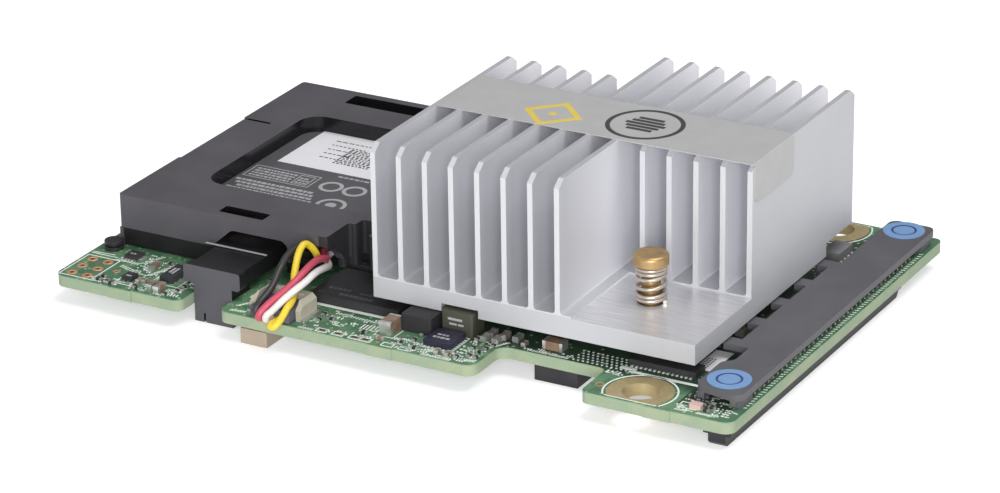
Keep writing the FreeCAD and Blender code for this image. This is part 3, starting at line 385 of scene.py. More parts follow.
finishes = {
    "board": solderMask("boardLacquer", {
        "dark": shade(56, 100, 74), "light": shade(118, 156, 118), "via": shade(170, 192, 160),
        # shade is a painted-shade colour, laid on the lacquer in the fields below, under the heatsink and
        # touch strip and between the parts
        "shade": shade(30, 44, 36), "edgeDark": shade(134, 152, 126), "edgeLight": shade(170, 186, 160),
        "edgeWarm": shade(178, 182, 146),
        "paintedShadeLeft": (38.0, 0.07), "paintedShadeRight": (98.9, -1.2),
        "paintedShadeFront": (6.6, 0.6), "paintedShadeRear": (62.0, -0.25),
        "corner": (91.4, 98.2, 2.6, 8.7),
    }),
    "gold": plainMetal("goldPlate", tones((166, 146, 98), (206, 190, 150), 0.42, metal=0.5)),
    "heatsink": drawnAluminium("drawnAluminium", {
        "dark": shade(180, 181, 186), "light": shade(206, 207, 211), "rough": 0.5, "metal": 0.35,
        # the next colours paint light on the fin sides, the deep one lighter, and a painted highlight on the
        # fin fronts
        "paintedWallLight": shade(202, 203, 208), "ends": shade(210, 211, 215), "deep": shade(238, 238, 243),
        "milled": shade(230, 230, 232), "milledDark": shade(214, 214, 217),
        "paintedDeepLightRamp": (10.0, 0.09), "outer": 90.5, "shelf": 6.95,
    }),
    "foil": printedFilm("labelFoil", tones((174, 174, 175), (192, 192, 192), 0.5, grain=0.16, metal=0.1)),
    "brass": plainMetal("turnedBrass", tones((140, 110, 70), (214, 182, 130), 0.42, metal=0.75)),
    "spring": plainMetal("springSteel", tones((180, 168, 156), (222, 212, 202), 0.36, metal=0.8)),
    "steel": plainMetal("nutSteel", tones((150, 150, 150), (190, 190, 190), 0.38)),
    "tin": plainMetal("solderTin", tones((172, 172, 168), (228, 228, 224), 0.32, metal=0.8)),
    "epoxy": mouldedPlastic("chipEpoxy", tones((48, 48, 50), (64, 63, 66), 0.48)),
    "slate": mouldedPlastic("slateEpoxy", tones((38, 38, 54), (54, 54, 76), 0.42)),
    "cover": coverPlastic("coverPlastic", {
        # the near-black colour on the next line is partly painted shade for the recess faces
        "dark": shade(80, 78, 83), "light": shade(92, 89, 94), "gloss": shade(24, 23, 25), "rough": 0.5,
        "window": (9.0, 38.9, 20.7, 50.4), "leadRecess": (33.8, 60.0, -10.0, 21.4),
        "slots": ((17.3, 24.8, 13.2, 16.0), (11.6, 27.0, 55.1, 58.9), (-10.0, 7.0, 43.4, 44.2)),
        "slotTop": topOf("battery_cover") - 0.05,
    }),
    "tray": trayPlastic("trayPlastic", {
        # front is the painted-light colour of the lit fronts; the bright colour on the next line is a painted
        # highlight
        "dark": shade(26, 25, 27), "light": shade(36, 35, 37), "front": shade(84, 84, 89), "frontEnd": 5.0,
        "ridgeHighlight": shade(160, 159, 163), "ridgeFloor": 5.36, "ridgeSpan": (10.2, 11.2),
    }),
    "battery": printedFilm("batteryFilm", tones((84, 83, 87), (94, 93, 97), 0.48)),
    "sticker": printedFilm("stickerPaper", tones((222, 221, 226), (238, 237, 241), 0.6)),
    "nylon": mouldedPlastic("nylonIvory", tones((172, 167, 150), (190, 185, 170), 0.45)),
    "plug": mouldedPlastic("plugPlastic", tones((80, 80, 90), (98, 98, 109), 0.45)),
    "strip": mouldedPlastic("stripPlastic", tones((88, 87, 92), (98, 97, 102), 0.52)),
    "blue": touchPlastic("touchBlue", {
        "dark": shade(112, 149, 195), "light": shade(124, 159, 203), "paintedGrooveShade": shade(58, 80, 128),
        "places": ((96.155, 7.375), (96.155, 60.405)), "inner": 1.42, "outer": 1.74,
    }),
    "connector": mouldedPlastic("connectorPlastic", tones((34, 34, 36), (52, 52, 54), 0.42)),
    "tantalum": mouldedPlastic("tantalumResin", tones((170, 156, 138), (190, 177, 160), 0.55)),
    "ferrite": mouldedPlastic("blackFerrite", tones((38, 37, 40), (60, 58, 61), 0.52)),
    "olive": mouldedPlastic("oliveFerrite", tones((62, 62, 53), (90, 90, 77), 0.5)),
    "ceramic": mouldedPlastic("tanCeramic", tones((122, 98, 82), (160, 132, 112), 0.42, cloud=1.2)),
    "lamp": mouldedPlastic("lampResin", tones((196, 158, 150), (226, 198, 190), 0.3)),
    "pad": mouldedPlastic("thermalPad", tones((120, 120, 124), (144, 144, 146), 0.7)),
    "whiteInk": printedFilm("whiteInk", tones((222, 228, 220), (244, 247, 241), 0.6)),
    "greyInk": printedFilm("greyInk", tones((158, 158, 162), (184, 184, 188), 0.55)),
    "dimInk": printedFilm("dimInk", tones((74, 74, 78), (96, 96, 100), 0.55)),
    "blackInk": printedFilm("blackInk", tones((58, 58, 60), (78, 78, 80), 0.55)),
    "yellowInk": printedFilm("yellowInk", tones((214, 186, 74), (232, 206, 96), 0.55)),
    "copper": plainMetal("barePad", tones((186, 128, 84), (228, 182, 136), 0.4, metal=0.35)),
    "dots": plainMetal("solderDots", tones((204, 208, 202), (238, 240, 236), 0.4, metal=0.2)),
    "greyLid": mouldedPlastic("greyLid", tones((116, 115, 118), (140, 139, 142), 0.5)),
    "brightGold": plainMetal("contactGold", tones((186, 148, 84), (226, 194, 130), 0.28)),
    "dullTin": plainMetal("dullTin", tones((104, 104, 100), (168, 168, 162), 0.42, metal=0.6)),
    "greyCeramic": mouldedPlastic("greyCeramic", tones((116, 114, 108), (146, 143, 136), 0.45)),
    "brownInk": printedFilm("brownInk", tones((70, 48, 40), (98, 70, 58), 0.5)),
    "wireBlack": wireJacket("jacketBlack", {"dark": shade(40, 39, 41), "light": shade(58, 57, 59)}),
    "wireRed": wireJacket("jacketRed", {"dark": shade(184, 66, 88), "light": shade(204, 86, 108)}),
    "wireWhite": wireJacket("jacketWhite", {"dark": shade(214, 208, 206), "light": shade(232, 227, 224)}),
    "wireYellow": wireJacket("jacketYellow", {"dark": shade(222, 190, 44), "light": shade(238, 210, 66)}),
}

nodeFinishes = {
    "circuit_board": "board", "front_hole_plating": "gold", "rear_hole_plating": "gold",
    "heatsink": "heatsink", "heatsink_label": "foil", "spring_screws": "brass",
    "compression_springs": "spring", "screw_nuts": "steel", "controller_substrate": "epoxy",
    "controller_lid": "steel", "thermal_pad": "pad", "memory_chips": "epoxy",
    "battery_cover": "cover", "battery_tray": "tray", "battery_pack": "battery",
    "battery_sticker": "sticker", "battery_header": "nylon", "header_tabs": "tin",
    "battery_plug": "plug", "touch_strip": "strip", "touch_points": "blue",
    "mezzanine_connector": "connector", "tantalum_capacitor": "tantalum", "power_choke": "ferrite",
    "underside_terminals": "tin", "round_inductor": "ferrite", "black_inductor": "ferrite",
    "relief_inductor": "olive", "flash_chip": "epoxy", "quad_chip": "epoxy", "regulator": "epoxy",
    "chip_leads": "tin", "power_chip": "slate", "low_bar": "ferrite", "rear_chip": "greyLid",
    "status_lamp": "lamp", "ceramic_capacitors": "ceramic", "capacitor_ends": "tin",
    "wire_black": "wireBlack", "wire_red": "wireRed", "wire_white": "wireWhite", "wire_yellow": "wireYellow",
}


def dressNode(name, finishName):
    node = bpy.data.objects.get(name)
    if not node.material_slots:
        node.data.materials.append(finishes[finishName])
    for slot in node.material_slots:
        slot.material = finishes[finishName]


for name, finishName in nodeFinishes.items():
    dressNode(name, finishName)
print("stage: finishes")

leadWires = {"thickness": 0.95, "roundSteps": 5, "smoothSteps": 10}
leadRoutes = {
    "wire_black": [
        (31.7, 0.8, 2.1), (31.7, -0.3, 2.1), (32.0, -0.7, 3.0), (32.25, 0.2, 4.05),
        (32.45, 1.5, 4.5), (32.55, 3.1, 5.35), (32.35, 4.8, 6.6), (31.85, 7.8, 7.7), (31.95, 10.1, 7.9),
        (31.7, 11.2, 7.1), (31.4, 12.2, 6.1), (31.2, 13.8, 5.2), (31.2, 16.0, 4.8), (31.2, 21.46, 4.8),
    ],
    "wire_red": [
        (32.8, 0.8, 2.1), (32.8, -0.9, 2.1), (32.95, -1.4, 3.0), (33.75, -0.1, 4.2),
        (34.8, 1.5, 5.2), (35.7, 3.5, 6.3), (35.9, 5.8, 7.1), (35.6, 8.5, 7.25), (35.35, 10.7, 6.75),
        (34.95, 12.8, 5.8), (33.3, 14.1, 5.75), (32.9, 15.9, 6.1), (32.9, 21.46, 6.1),
    ],
    "wire_white": [
        (33.9, 0.8, 2.1), (33.9, -0.9, 2.1), (33.95, -1.3, 2.9), (34.65, -0.4, 3.6),
        (35.5, 0.8, 4.75), (36.4, 2.3, 5.75), (37.0, 4.0, 6.35), (37.1, 6.2, 6.85), (36.5, 9.5, 6.1),
        (35.2, 12.8, 4.8), (33.9, 14.2, 4.75), (32.9, 15.8, 4.8), (32.9, 21.46, 4.8),
    ],
    "wire_yellow": [
        (35.0, 0.8, 2.1), (35.0, -0.9, 2.1), (34.95, -1.8, 2.05),
        (35.5, -2.05, 1.9), (36.0, -1.6, 2.35), (36.25, -0.7, 3.15), (36.35, 0.25, 3.98), (36.2, 1.5, 4.15),
        (35.75, 2.9, 4.5), (35.1, 4.2, 5.3), (34.35, 5.3, 5.95), (33.6, 7.1, 7.0), (33.1, 8.7, 8.05),
        (33.0, 10.3, 8.7), (33.55, 11.3, 7.75), (34.0, 11.9, 6.3), (32.8, 13.3, 5.75), (31.2, 15.4, 6.1),
        (31.2, 21.46, 6.1),
    ],
}


def makeWire(node, route):                # smooth lead from the plug to the battery
    curve = bpy.data.curves.new(node + "_jacket", "CURVE")
    curve.dimensions = "3D"
    curve.bevel_depth = leadWires["thickness"] / 2 * mm
    curve.bevel_resolution = leadWires["roundSteps"]
    curve.use_fill_caps = True
    spline = curve.splines.new("NURBS")
    spline.points.add(len(route) - 1)
    for point, (x, y, z) in zip(spline.points, route):
        point.co = (*at(x, y, z), 1.0)
    spline.order_u = 3
    spline.use_endpoint_u = True
    spline.resolution_u = leadWires["smoothSteps"]
    piece = bpy.data.objects.new(node + "_jacket", curve)
    bpy.context.scene.collection.objects.link(piece)
    curve.materials.append(finishes[nodeFinishes[node]])
    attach(piece, "root")
    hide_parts(node)


for node, route in leadRoutes.items():
    makeWire(node, route)
print("stage: battery lead")


def block(shape, left, near, floor, width, depth, height, edge=0.0, turn=0.0):   # one bevelled box
    middle = at(left + width / 2, near + depth / 2, floor + height / 2)
    scale = Matrix.Diagonal((width * mm, depth * mm, height * mm, 1.0))
    place = Matrix.Translation(middle) @ Matrix.Rotation(math.radians(turn), 4, "Z") @ scale
    made = bmesh.ops.create_cube(shape, size=1.0, matrix=place)
    if edge:
        corners = list({corner for point in made["verts"] for corner in point.link_edges})
        bmesh.ops.bevel(shape, geom=corners, offset=edge * mm, offset_type="OFFSET", segments=1,
                        profile=0.5, affect="EDGES", material=-1)


def disc(shape, x, y, floor, radius, height, steps=24):
    place = Matrix.Translation(at(x, y, floor + height / 2))
    bmesh.ops.create_cone(shape, cap_ends=True, segments=steps, radius1=radius * mm, radius2=radius * mm,
                          depth=height * mm, matrix=place)


def ring(shape, x, y, floor, inner, outer, height, steps=40):   # a rectangle spun round an upright line
    middle = at(x + (inner + outer) / 2, y, floor + height / 2)
    scale = Matrix.Diagonal(((outer - inner) * mm, height * mm, 1.0, 1.0))
    place = Matrix.Translation(middle) @ Matrix.Rotation(math.pi / 2, 4, "X") @ scale
    made = bmesh.ops.create_grid(shape, x_segments=1, y_segments=1, size=0.5, matrix=place)
    points = made["verts"]
    lines = list({line for point in points for line in point.link_edges})
    faces = list({face for point in points for face in point.link_faces})
    bmesh.ops.delete(shape, geom=faces, context="FACES_ONLY")
    bmesh.ops.spin(shape, geom=points + lines, cent=at(x, y), axis=(0, 0, 1), angle=2 * math.pi,
                   steps=steps, use_merge=True, use_duplicate=False)


def outline(shape, left, near, floor, width, depth, line, height):   # four bars round a field
    block(shape, left, near, floor, width, line, height)
    block(shape, left, near + depth - line, floor, width, line, height)
    block(shape, left, near + line, floor, line, depth - 2 * line, height)
    block(shape, left + width - line, near + line, floor, line, depth - 2 * line, height)


def dashes(shape, left, near, floor, width, tall, height, shortest, longest, gap):   # a row of plain dashes
    place = left
    while place < left + width - shortest:
        length = min(random.uniform(shortest, longest), left + width - place)
        block(shape, place, near, floor, length, tall, height)
        place += length + gap


def ticks(shape, start, end, floor, count, width, length, height, turn=0.0):   # short bars from start to end
    for index in range(count):
        share = index / max(1, count - 1)
        x = start[0] + (end[0] - start[0]) * share
        y = start[1] + (end[1] - start[1]) * share
        block(shape, x - width / 2, y - length / 2, floor, width, length, height, 0.0, turn)


def placePiece(name, shape, finishName, soft=False):
    bmesh.ops.recalc_face_normals(shape, faces=shape.faces)
    for face in shape.faces:
        face.smooth = soft
    mesh = bpy.data.meshes.new(name)
    shape.to_mesh(mesh)
    shape.free()
    mesh.materials.append(finishes[finishName])
    piece = bpy.data.objects.new(name, mesh)
    bpy.context.scene.collection.objects.link(piece)
    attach(piece, "root")
    return piece


labelMarks = {
    "lozengeX": 60.3, "lozengeY": 28.3, "lozengeSize": 4.3, "lozengeLine": 1.12, "lozengeDot": 0.55,
    "ringX": 72.7, "ringY": 30.3, "ringRadius": 5.2, "ringLine": 0.62,
    "rowWidths": (3.6, 4.6, 5.6, 4.6, 3.6), "rowFront": -2.2, "rowPitch": 0.95, "rowDepth": 0.68,
    "thick": 0.02,
}


def makeLabelMarks():                     # plain marks in place of the printed ones
    floor = topOf("heatsink_label")
    look = labelMarks
    thick = look["thick"]
    shape = bmesh.new()
    x = look["lozengeX"]
    y = look["lozengeY"]
    ring(shape, x, y, floor, look["lozengeSize"] - look["lozengeLine"], look["lozengeSize"], thick, 4)
    disc(shape, x, y, floor, look["lozengeDot"], thick)
    placePiece("label_lozenge", shape, "yellowInk")
    shape = bmesh.new()
    x = look["ringX"]
    y = look["ringY"]
    ring(shape, x, y, floor, look["ringRadius"] - look["ringLine"], look["ringRadius"], thick, 64)
    for row, wide in enumerate(look["rowWidths"]):
        near = y + look["rowFront"] + row * look["rowPitch"]
        block(shape, x - wide / 2, near, floor, wide, look["rowDepth"], thick)
    placePiece("label_ring", shape, "blackInk")


makeLabelMarks()

batteryPrint = {
    "boxes": ((10.4, 30.6, 10.4, 4.1), (17.8, 31.1, 2.4, 3.1)), "line": 0.16,   # left, front, width and depth
    "boxRows": 4, "boxRowPitch": 0.8, "sideRows": 3, "sideRowPitch": 0.75,
    "rows": (                             # left, front, width, depth, shortest, longest dash and gap
        (10.3, 29.0, 12.3, 0.6, 0.3, 1.0, 0.16), (10.9, 28.0, 12.3, 0.6, 0.3, 1.0, 0.16),
        (11.6, 27.0, 12.0, 0.6, 0.3, 1.0, 0.16), (10.5, 26.0, 13.5, 0.6, 0.3, 1.0, 0.16),
        (22.6, 35.8, 5.0, 0.45, 0.3, 0.9, 0.2),
    ),
    "rings": ((23.6, 32.4, 1.75), (27.3, 32.4, 1.75), (26.9, 26.8, 2.2)), "ringLine": 0.55,
    "dot": (26.9, 26.8, 0.8), "stickerRows": 5, "codeRows": 10, "thick": 0.02,
}


def makeBatteryPrint():                   # plain rows and rings on the battery's wrap
    look = batteryPrint
    floor = topOf("battery_pack")
    thick = look["thick"]
    shape = bmesh.new()
    for left, near, width, depth in look["boxes"]:
        outline(shape, left, near, floor, width, depth, look["line"], thick)
    left, near = look["boxes"][0][:2]
    for row in range(look["boxRows"]):
        front = near + 0.55 + row * look["boxRowPitch"]
        dashes(shape, left + 0.6, front, floor, 6.4, 0.44, thick, 0.25, 0.9, 0.16)
    for row in range(look["sideRows"]):
        front = near + 0.9 + row * look["sideRowPitch"]
        dashes(shape, left + 7.8, front, floor, 1.7, 0.4, thick, 0.3, 0.7, 0.15)
    for left, near, width, depth, *dash in look["rows"]:
        dashes(shape, left, near, floor, width, depth, thick, *dash)
    for x, y, radius in look["rings"]:
        ring(shape, x, y, floor, radius - look["ringLine"], radius, thick)
    x, y, radius = look["dot"]
    disc(shape, x, y, floor, radius, thick)
    placePiece("battery_print", shape, "greyInk")
    floor = topOf("battery_sticker")
    shape = bmesh.new()
    for row in range(look["stickerRows"]):
        dashes(shape, 15.6 + row * 0.2, 47.0 - row * 1.5, floor, 6.2 - row * 0.7, 0.22, thick, 0.3, 0.9, 0.25)
    for row in range(look["codeRows"]):
        dashes(shape, 19.2, 39.9 + row * 0.56, floor, 5.6, 0.34, thick, 0.22, 0.5, 0.26)
    placePiece("sticker_print", shape, "blackInk")


makeBatteryPrint()
print("stage: label and battery print")

chipPrint = {                             # rows: left, front, width, depth, shortest, longest dash and gap
    "first": 8.3, "pitch": 10.6, "count": 5, "thick": 0.015,
    "memoryRows": (
        (38.6, 0.9, 5.0, 0.7, 0.5, 0.7, 0.16), (36.2, 2.4, 3.4, 0.5, 0.3, 0.6, 0.2),
        (41.0, 2.3, 4.2, 0.4, 0.3, 0.9, 0.2),
    ),
    "memoryRing": (36.0, 1.0, 0.28, 0.38),
    "powerRows": ((55.7, 4.1, 2.7, 0.45, 0.3, 0.6, 0.15), (55.9, 5.0, 2.0, 0.35, 0.3, 0.6, 0.15)),
    "quadRow": (5.9, 9.4, 1.2, 0.3, 0.3, 0.5, 0.12),
    "bars": (
        ("regulator", 9.55, 2.9, 0.8, 0.3), ("flash_chip", 14.4, 5.8, 0.35, 1.6),
        ("flash_chip", 14.95, 5.6, 0.3, 1.9),
    ),
    "inductorBars": ((56.0, 3.55, 2.1, 0.32), (56.2, 2.9, 1.1, 0.26), (57.5, 2.9, 0.8, 0.26)),
    "inductorThick": 0.02,
}


def makeChipPrint():                      # faint plain rows on the packages
    look = chipPrint
    floor = topOf("memory_chips")
    thick = look["thick"]
    shape = bmesh.new()
    for index in range(look["count"]):
        front = look["first"] + index * look["pitch"]
        for left, near, width, depth, *dash in look["memoryRows"]:
            dashes(shape, left, front + near, floor, width, depth, thick, *dash)
        x, y, inner, outer = look["memoryRing"]
        ring(shape, x, front + y, floor, inner, outer, thick, 20)
    placePiece("memory_print", shape, "dimInk")
    floor = topOf("power_chip")
    shape = bmesh.new()
    for left, near, width, depth, *dash in look["powerRows"]:
        dashes(shape, left, near, floor, width, depth, thick, *dash)
    for node, left, near, width, depth in look["bars"]:
        block(shape, left, near, topOf(node), width, depth, thick)
    left, near, width, depth, *dash = look["quadRow"]
    dashes(shape, left, near, topOf("quad_chip"), width, depth, thick, *dash)
    placePiece("small_print", shape, "greyInk")
    shape = bmesh.new()
    face = (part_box("relief_inductor")[0][1] - zeroY) / mm
    deep = look["inductorThick"]
    for left, floor, width, height in look["inductorBars"]:
        block(shape, left, face - deep, floor, width, deep, height)
    placePiece("inductor_print", shape, "greyInk")


makeChipPrint()

boardPrint = {
    "pads": (41.2, 43.6, 46.06, 47.69, 50.95, 53.48),
    "holeX": 85.92, "holeInset": 3.26, "holeRadius": 4.85, "holeLine": 0.22, "rim": 0.35, "thick": 0.025,
    "fields": (                           # left, front, width, depth and number of loose marks
        (5.0, 0.5, 12.8, 2.2, 40), (8.4, 4.5, 5.2, 5.6, 48), (4.6, 7.8, 4.6, 3.4, 26),
        (16.8, 1.6, 1.8, 8.0, 26), (38.2, 2.4, 9.2, 4.6, 40), (38.6, 0.5, 8.6, 1.6, 16),
        (50.9, 0.5, 3.4, 2.8, 22), (54.2, 7.1, 8.0, 0.9, 12), (53.6, 0.4, 7.0, 2.4, 34),
        (59.4, 0.6, 5.2, 7.2, 30), (66.2, 7.4, 7.4, 1.3, 18), (91.4, 0.7, 7.6, 2.7, 26),
        (91.6, 3.6, 5.4, 3.2, 22), (26.8, 6.2, 6.4, 4.8, 44), (78.8, 5.9, 2.6, 1.8, 8),
    ),
    "bars": (                             # left, front, width, depth and turn
        (35.2, 7.55, 11.3, 0.62, 0), (46.5, 7.72, 0.25, 2.6, 0), (34.1, 7.72, 0.25, 2.6, 0),
        (81.9, 7.75, 10.6, 0.55, 0), (80.4, 8.2, 2.2, 0.9, 0), (0.35, 8.35, 4.2, 0.16, 0),
        (0.35, 8.85, 3.4, 0.14, 4), (27.2, 5.6, 2.2, 1.1, 10),
    ),
    "outlines": (                         # left, front, width, depth and line
        (0.35, 0.55, 5.2, 7.15, 0.17), (91.8, 1.55, 2.6, 1.7, 0.16), (8.6, 1.3, 2.7, 4.0, 0.14),
        (12.9, 3.6, 4.3, 5.8, 0.14), (54.6, 2.45, 4.8, 4.9, 0.13), (47.7, 2.8, 2.9, 3.9, 0.14),
    ),
    "rows": (                             # start, end, number of ticks, their width, length and turn
        ((38.0, 0.45), (39.9, 0.45), 6, 0.16, 0.55, -20), ((40.2, 6.4), (45.9, 6.1), 14, 0.18, 0.55, -20),
        ((45.2, 4.2), (47.6, 4.4), 6, 0.2, 1.6, 0), ((40.0, 5.3), (41.6, 5.2), 4, 0.2, 0.6, 0),
        ((56.2, 0.45), (60.2, 0.45), 12, 0.18, 0.5, -25), ((61.0, 1.2), (63.2, 1.6), 7, 0.18, 0.75, -10),
        ((62.9, 6.0), (64.3, 8.4), 8, 0.6, 0.18, 20), ((67.6, 7.8), (70.2, 7.8), 8, 0.16, 0.5, -20),
        ((70.8, 7.8), (73.2, 7.85), 8, 0.16, 0.5, -20), ((79.5, 6.75), (81.1, 6.75), 4, 0.28, 0.8, -10),
        ((92.0, 0.9), (93.4, 0.9), 5, 0.16, 0.5, -20), ((94.9, 1.0), (97.3, 1.0), 9, 0.16, 0.5, -20),
        ((4.9, 8.0), (8.2, 7.9), 9, 0.16, 0.6, -20), ((6.6, 6.4), (9.9, 5.4), 8, 0.16, 0.7, -20),
        ((8.9, 8.6), (9.9, 11.4), 8, 0.7, 0.16, 15), ((11.6, 5.4), (12.7, 8.6), 9, 0.8, 0.16, 25),
        ((17.3, 1.3), (18.6, 1.4), 4, 0.2, 0.6, 0), ((27.3, 1.0), (29.2, 1.2), 6, 0.18, 0.6, -20),
        ((27.4, 2.6), (28.9, 5.0), 7, 0.7, 0.18, 25), ((27.2, 8.0), (33.0, 8.4), 12, 0.18, 0.7, -20),
        ((50.9, 3.0), (52.9, 3.4), 6, 0.18, 0.7, 0),
    ),
    "keepOut": (
        "quad_chip", "regulator", "flash_chip", "power_chip", "black_inductor", "relief_inductor",
        "status_lamp", "round_inductor", "front_hole_plating", "memory_chips", "low_bar",
    ),
    "keepAway": 0.4,
    "markCorners": ((-0.4, -0.4), (-0.4, 0.5), (1.1, -0.4), (1.1, 0.5)),
}


def makeHoleOutline(shape, y, flat, inward):   # a ring cut straight beside the board's edge
    part = bmesh.new()
    look = boardPrint
    radius = look["holeRadius"]
    ring(part, look["holeX"], y, boardTop, radius - look["holeLine"], radius, look["thick"], 64)
    cut = bmesh.ops.bisect_plane(part, geom=part.verts[:] + part.edges[:] + part.faces[:],
                                 plane_co=at(0, flat), plane_no=(0, -inward, 0), clear_outer=True)
    rims = [item for item in cut["geom_cut"] if isinstance(item, bmesh.types.BMEdge)]
    bmesh.ops.holes_fill(part, edges=rims)
    half = math.sqrt(radius ** 2 - (y - flat) ** 2)
    near = flat if inward > 0 else flat - look["holeLine"]
    block(part, look["holeX"] - half, near, boardTop, 2 * half, look["holeLine"], look["thick"])
    mesh = bpy.data.meshes.new("cut")
    part.to_mesh(mesh)
    part.free()
    shape.from_mesh(mesh)


def isClear(x, y):                        # no package stands on this spot of the board
    away = boardPrint["keepAway"] * mm
    for node in boardPrint["keepOut"]:
        low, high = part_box(node)
        if low[0] - zeroX - away < x * mm < high[0] - zeroX + away:
            if low[1] - zeroY - away < y * mm < high[1] - zeroY + away:
                return False
    return True


def isOnBoard(x, y):                      # the board lies under the whole mark
    board = bpy.data.objects["circuit_board"]
    toBoard = board.matrix_world.inverted()
    down = toBoard.to_3x3() @ Vector((0, 0, -1))
    for stepX, stepY in boardPrint["markCorners"]:
        hit = board.ray_cast(toBoard @ at(x + stepX, y + stepY, boardTop + 5), down)
        if not hit[0]:
            return False
    return True


def looseMarks(shape, left, near, width, depth, count, thick):   # short strokes standing for reference marks
    for _ in range(count):
        x = left + random.random() * width
        y = near + random.random() * depth
        if isClear(x, y) and isOnBoard(x, y):
            turn = random.choice((0, 0, 90, 90, 20, -20))
            for stroke in range(random.choice((1, 2, 3))):
                block(shape, x + stroke * 0.36, y, boardTop, 0.2, random.uniform(0.2, 0.42), thick, 0.0, turn)


def makeBoardPrint():                     # the white print on the lacquer
    look = boardPrint
    thick = look["thick"]
    inset = look["holeInset"]
    rear = (boardHigh[1] - zeroY) / mm
    shape = bmesh.new()
    for x in look["pads"]:
        outline(shape, x - 0.85, 0.3, boardTop, 1.7, 1.15, 0.15, thick)
    for field in look["fields"]:
        looseMarks(shape, *field, thick)
    for left, near, width, depth, turn in look["bars"]:
        block(shape, left, near, boardTop, width, depth, thick, 0.0, turn)
    for left, near, width, depth, line in look["outlines"]:
        outline(shape, left, near, boardTop, width, depth, line, thick)
    for start, end, count, width, length, turn in look["rows"]:
        ticks(shape, start, end, boardTop, count, width, length, thick, turn)
    ticks(shape, (99.45, 5.0), (99.45, rear - 6.0), boardTop, 74, 0.55, 0.16, thick, 18)
    ticks(shape, (98.7, 5.5), (98.7, rear - 8.0), boardTop, 40, 0.18, 0.6, thick, 18)
    makeHoleOutline(shape, inset, look["rim"], 1)
    makeHoleOutline(shape, rear - inset, rear - look["rim"], -1)
    placePiece("board_print", shape, "whiteInk")


makeBoardPrint()
print("stage: board print")

copperPads = {
    "places": [(x, y) for x in (1.75, 4.2) for y in (1.7, 4.15, 6.6)],
    "outer": 0.78, "inner": 0.3, "thick": 0.04,
    "rings": ((7.0, 4.53, 0.25, 0.5), (80.45, 2.84, 0.45, 0.62)),   # middle, inner and outer radius
    "dotFields": (                        # left, front, columns, rows, pitches, row shift, radius and height
        (74.0, 7.95, 13, 5, 0.68, 0.72, 0.34, 0.17, 0.06),
        (96.7, 1.6, 4, 4, 0.62, 0.55, 0.0, 0.14, 0.06),
        (59.9, 3.1, 6, 3, 0.62, 0.85, 0.0, 0.15, 0.07),
    ),
    "solderPads": boardPrint["pads"][:4],
}


def dotField(shape, left, near, columns, rows, pitchX, pitchY, shift, radius, height):
    for row in range(rows):
        for column in range(columns):
            x = left + column * pitchX + (row % 2) * shift
            disc(shape, x, near + row * pitchY, boardTop, radius, height, 8)


def makeCopperPads():                     # bare test pads, their drilled centres as black discs of painted shade
    look = copperPads
    shape = bmesh.new()
    for x, y in look["places"]:
        ring(shape, x, y, boardTop, look["inner"], look["outer"], look["thick"], 24)
    for x, y, inner, outer in look["rings"]:
        ring(shape, x, y, boardTop, inner, outer, look["thick"], 24)
    placePiece("copper_pads", shape, "copper", True)
    # painted shade: black discs where the drilled holes are
    shape = bmesh.new()
    for x, y in look["places"]:
        disc(shape, x, y, boardTop, look["inner"] * 0.9, look["thick"] * 0.5, 16)
    placePiece("pad_hole_shade", shape, "blackInk")
    shape = bmesh.new()
    for field in look["dotFields"]:
        dotField(shape, *field)
    for x in look["solderPads"]:
        block(shape, x - 0.5, 0.6, boardTop, 1.0, 0.55, 0.03)
    placePiece("bare_points", shape, "dots", True)
    shape = bmesh.new()
    for x in look["solderPads"]:
        block(shape, x - 0.45, 0.63, boardTop + 0.03, 0.9, 0.5, 0.02)
    placePiece("pad_stains", shape, "brownInk")


makeCopperPads()

smallParts = {
    "length": 1.0, "width": 0.52, "height": 0.45, "end": 0.26, "edge": 0.04,
    "grow": {"dark": 1.0, "tan": 1.15, "tall": 1.7},
    "rise": {"dark": 0.8, "tan": 1.3, "tall": 1.8},
    "dark": [                             # middle and turn
        (6.4, 1.1, 0), (6.5, 2.2, 0), (7.8, 1.0, 90), (8.6, 0.7, 0), (11.9, 1.4, 90), (12.7, 0.8, 0),
        (16.9, 1.0, 90), (16.4, 9.6, 0), (17.8, 2.6, 90), (17.9, 4.2, 90), (17.7, 6.0, 0), (17.7, 7.4, 90),
        (12.2, 9.7, 0), (27.6, 9.2, 0), (28.9, 9.9, 90), (31.0, 7.6, 0), (32.4, 8.6, 0), (27.0, 11.1, 90),
        (39.2, 3.4, 90), (38.9, 5.2, 90), (40.6, 4.2, 0), (49.0, 7.4, 0), (47.2, 5.8, 90), (46.4, 2.6, 0),
        (53.4, 5.6, 90), (53.3, 3.6, 90), (52.3, 2.2, 0), (54.6, 1.4, 0), (60.6, 1.6, 90), (61.9, 2.6, 90),
        (62.9, 2.5, 90), (61.2, 4.9, 90), (62.8, 5.4, 90), (62.6, 4.1, 0), (60.3, 7.6, 90), (61.3, 7.4, 0),
        (63.2, 6.6, 90), (92.4, 4.9, 0), (93.6, 4.4, 90), (94.6, 5.4, 0), (94.8, 3.6, 90), (96.0, 2.9, 0),
        (92.6, 6.3, 90), (95.6, 1.9, 0), (91.2, 9.6, 90),
    ],
    "tan": [
        (12.4, 3.1, 90), (11.7, 2.9, 90), (52.0, 6.9, 90), (51.2, 6.3, 90), (49.4, 1.7, 0), (57.9, 1.5, 90),
        (59.4, 1.5, 90), (66.6, 8.7, 90), (63.5, 9.3, 90), (93.9, 7.4, 0),
    ],
    "tall": [(61.5, 9.5, 90), (63.3, 9.6, 90), (65.1, 9.7, 90), (61.4, 7.9, 90), (63.0, 7.9, 90)],
}


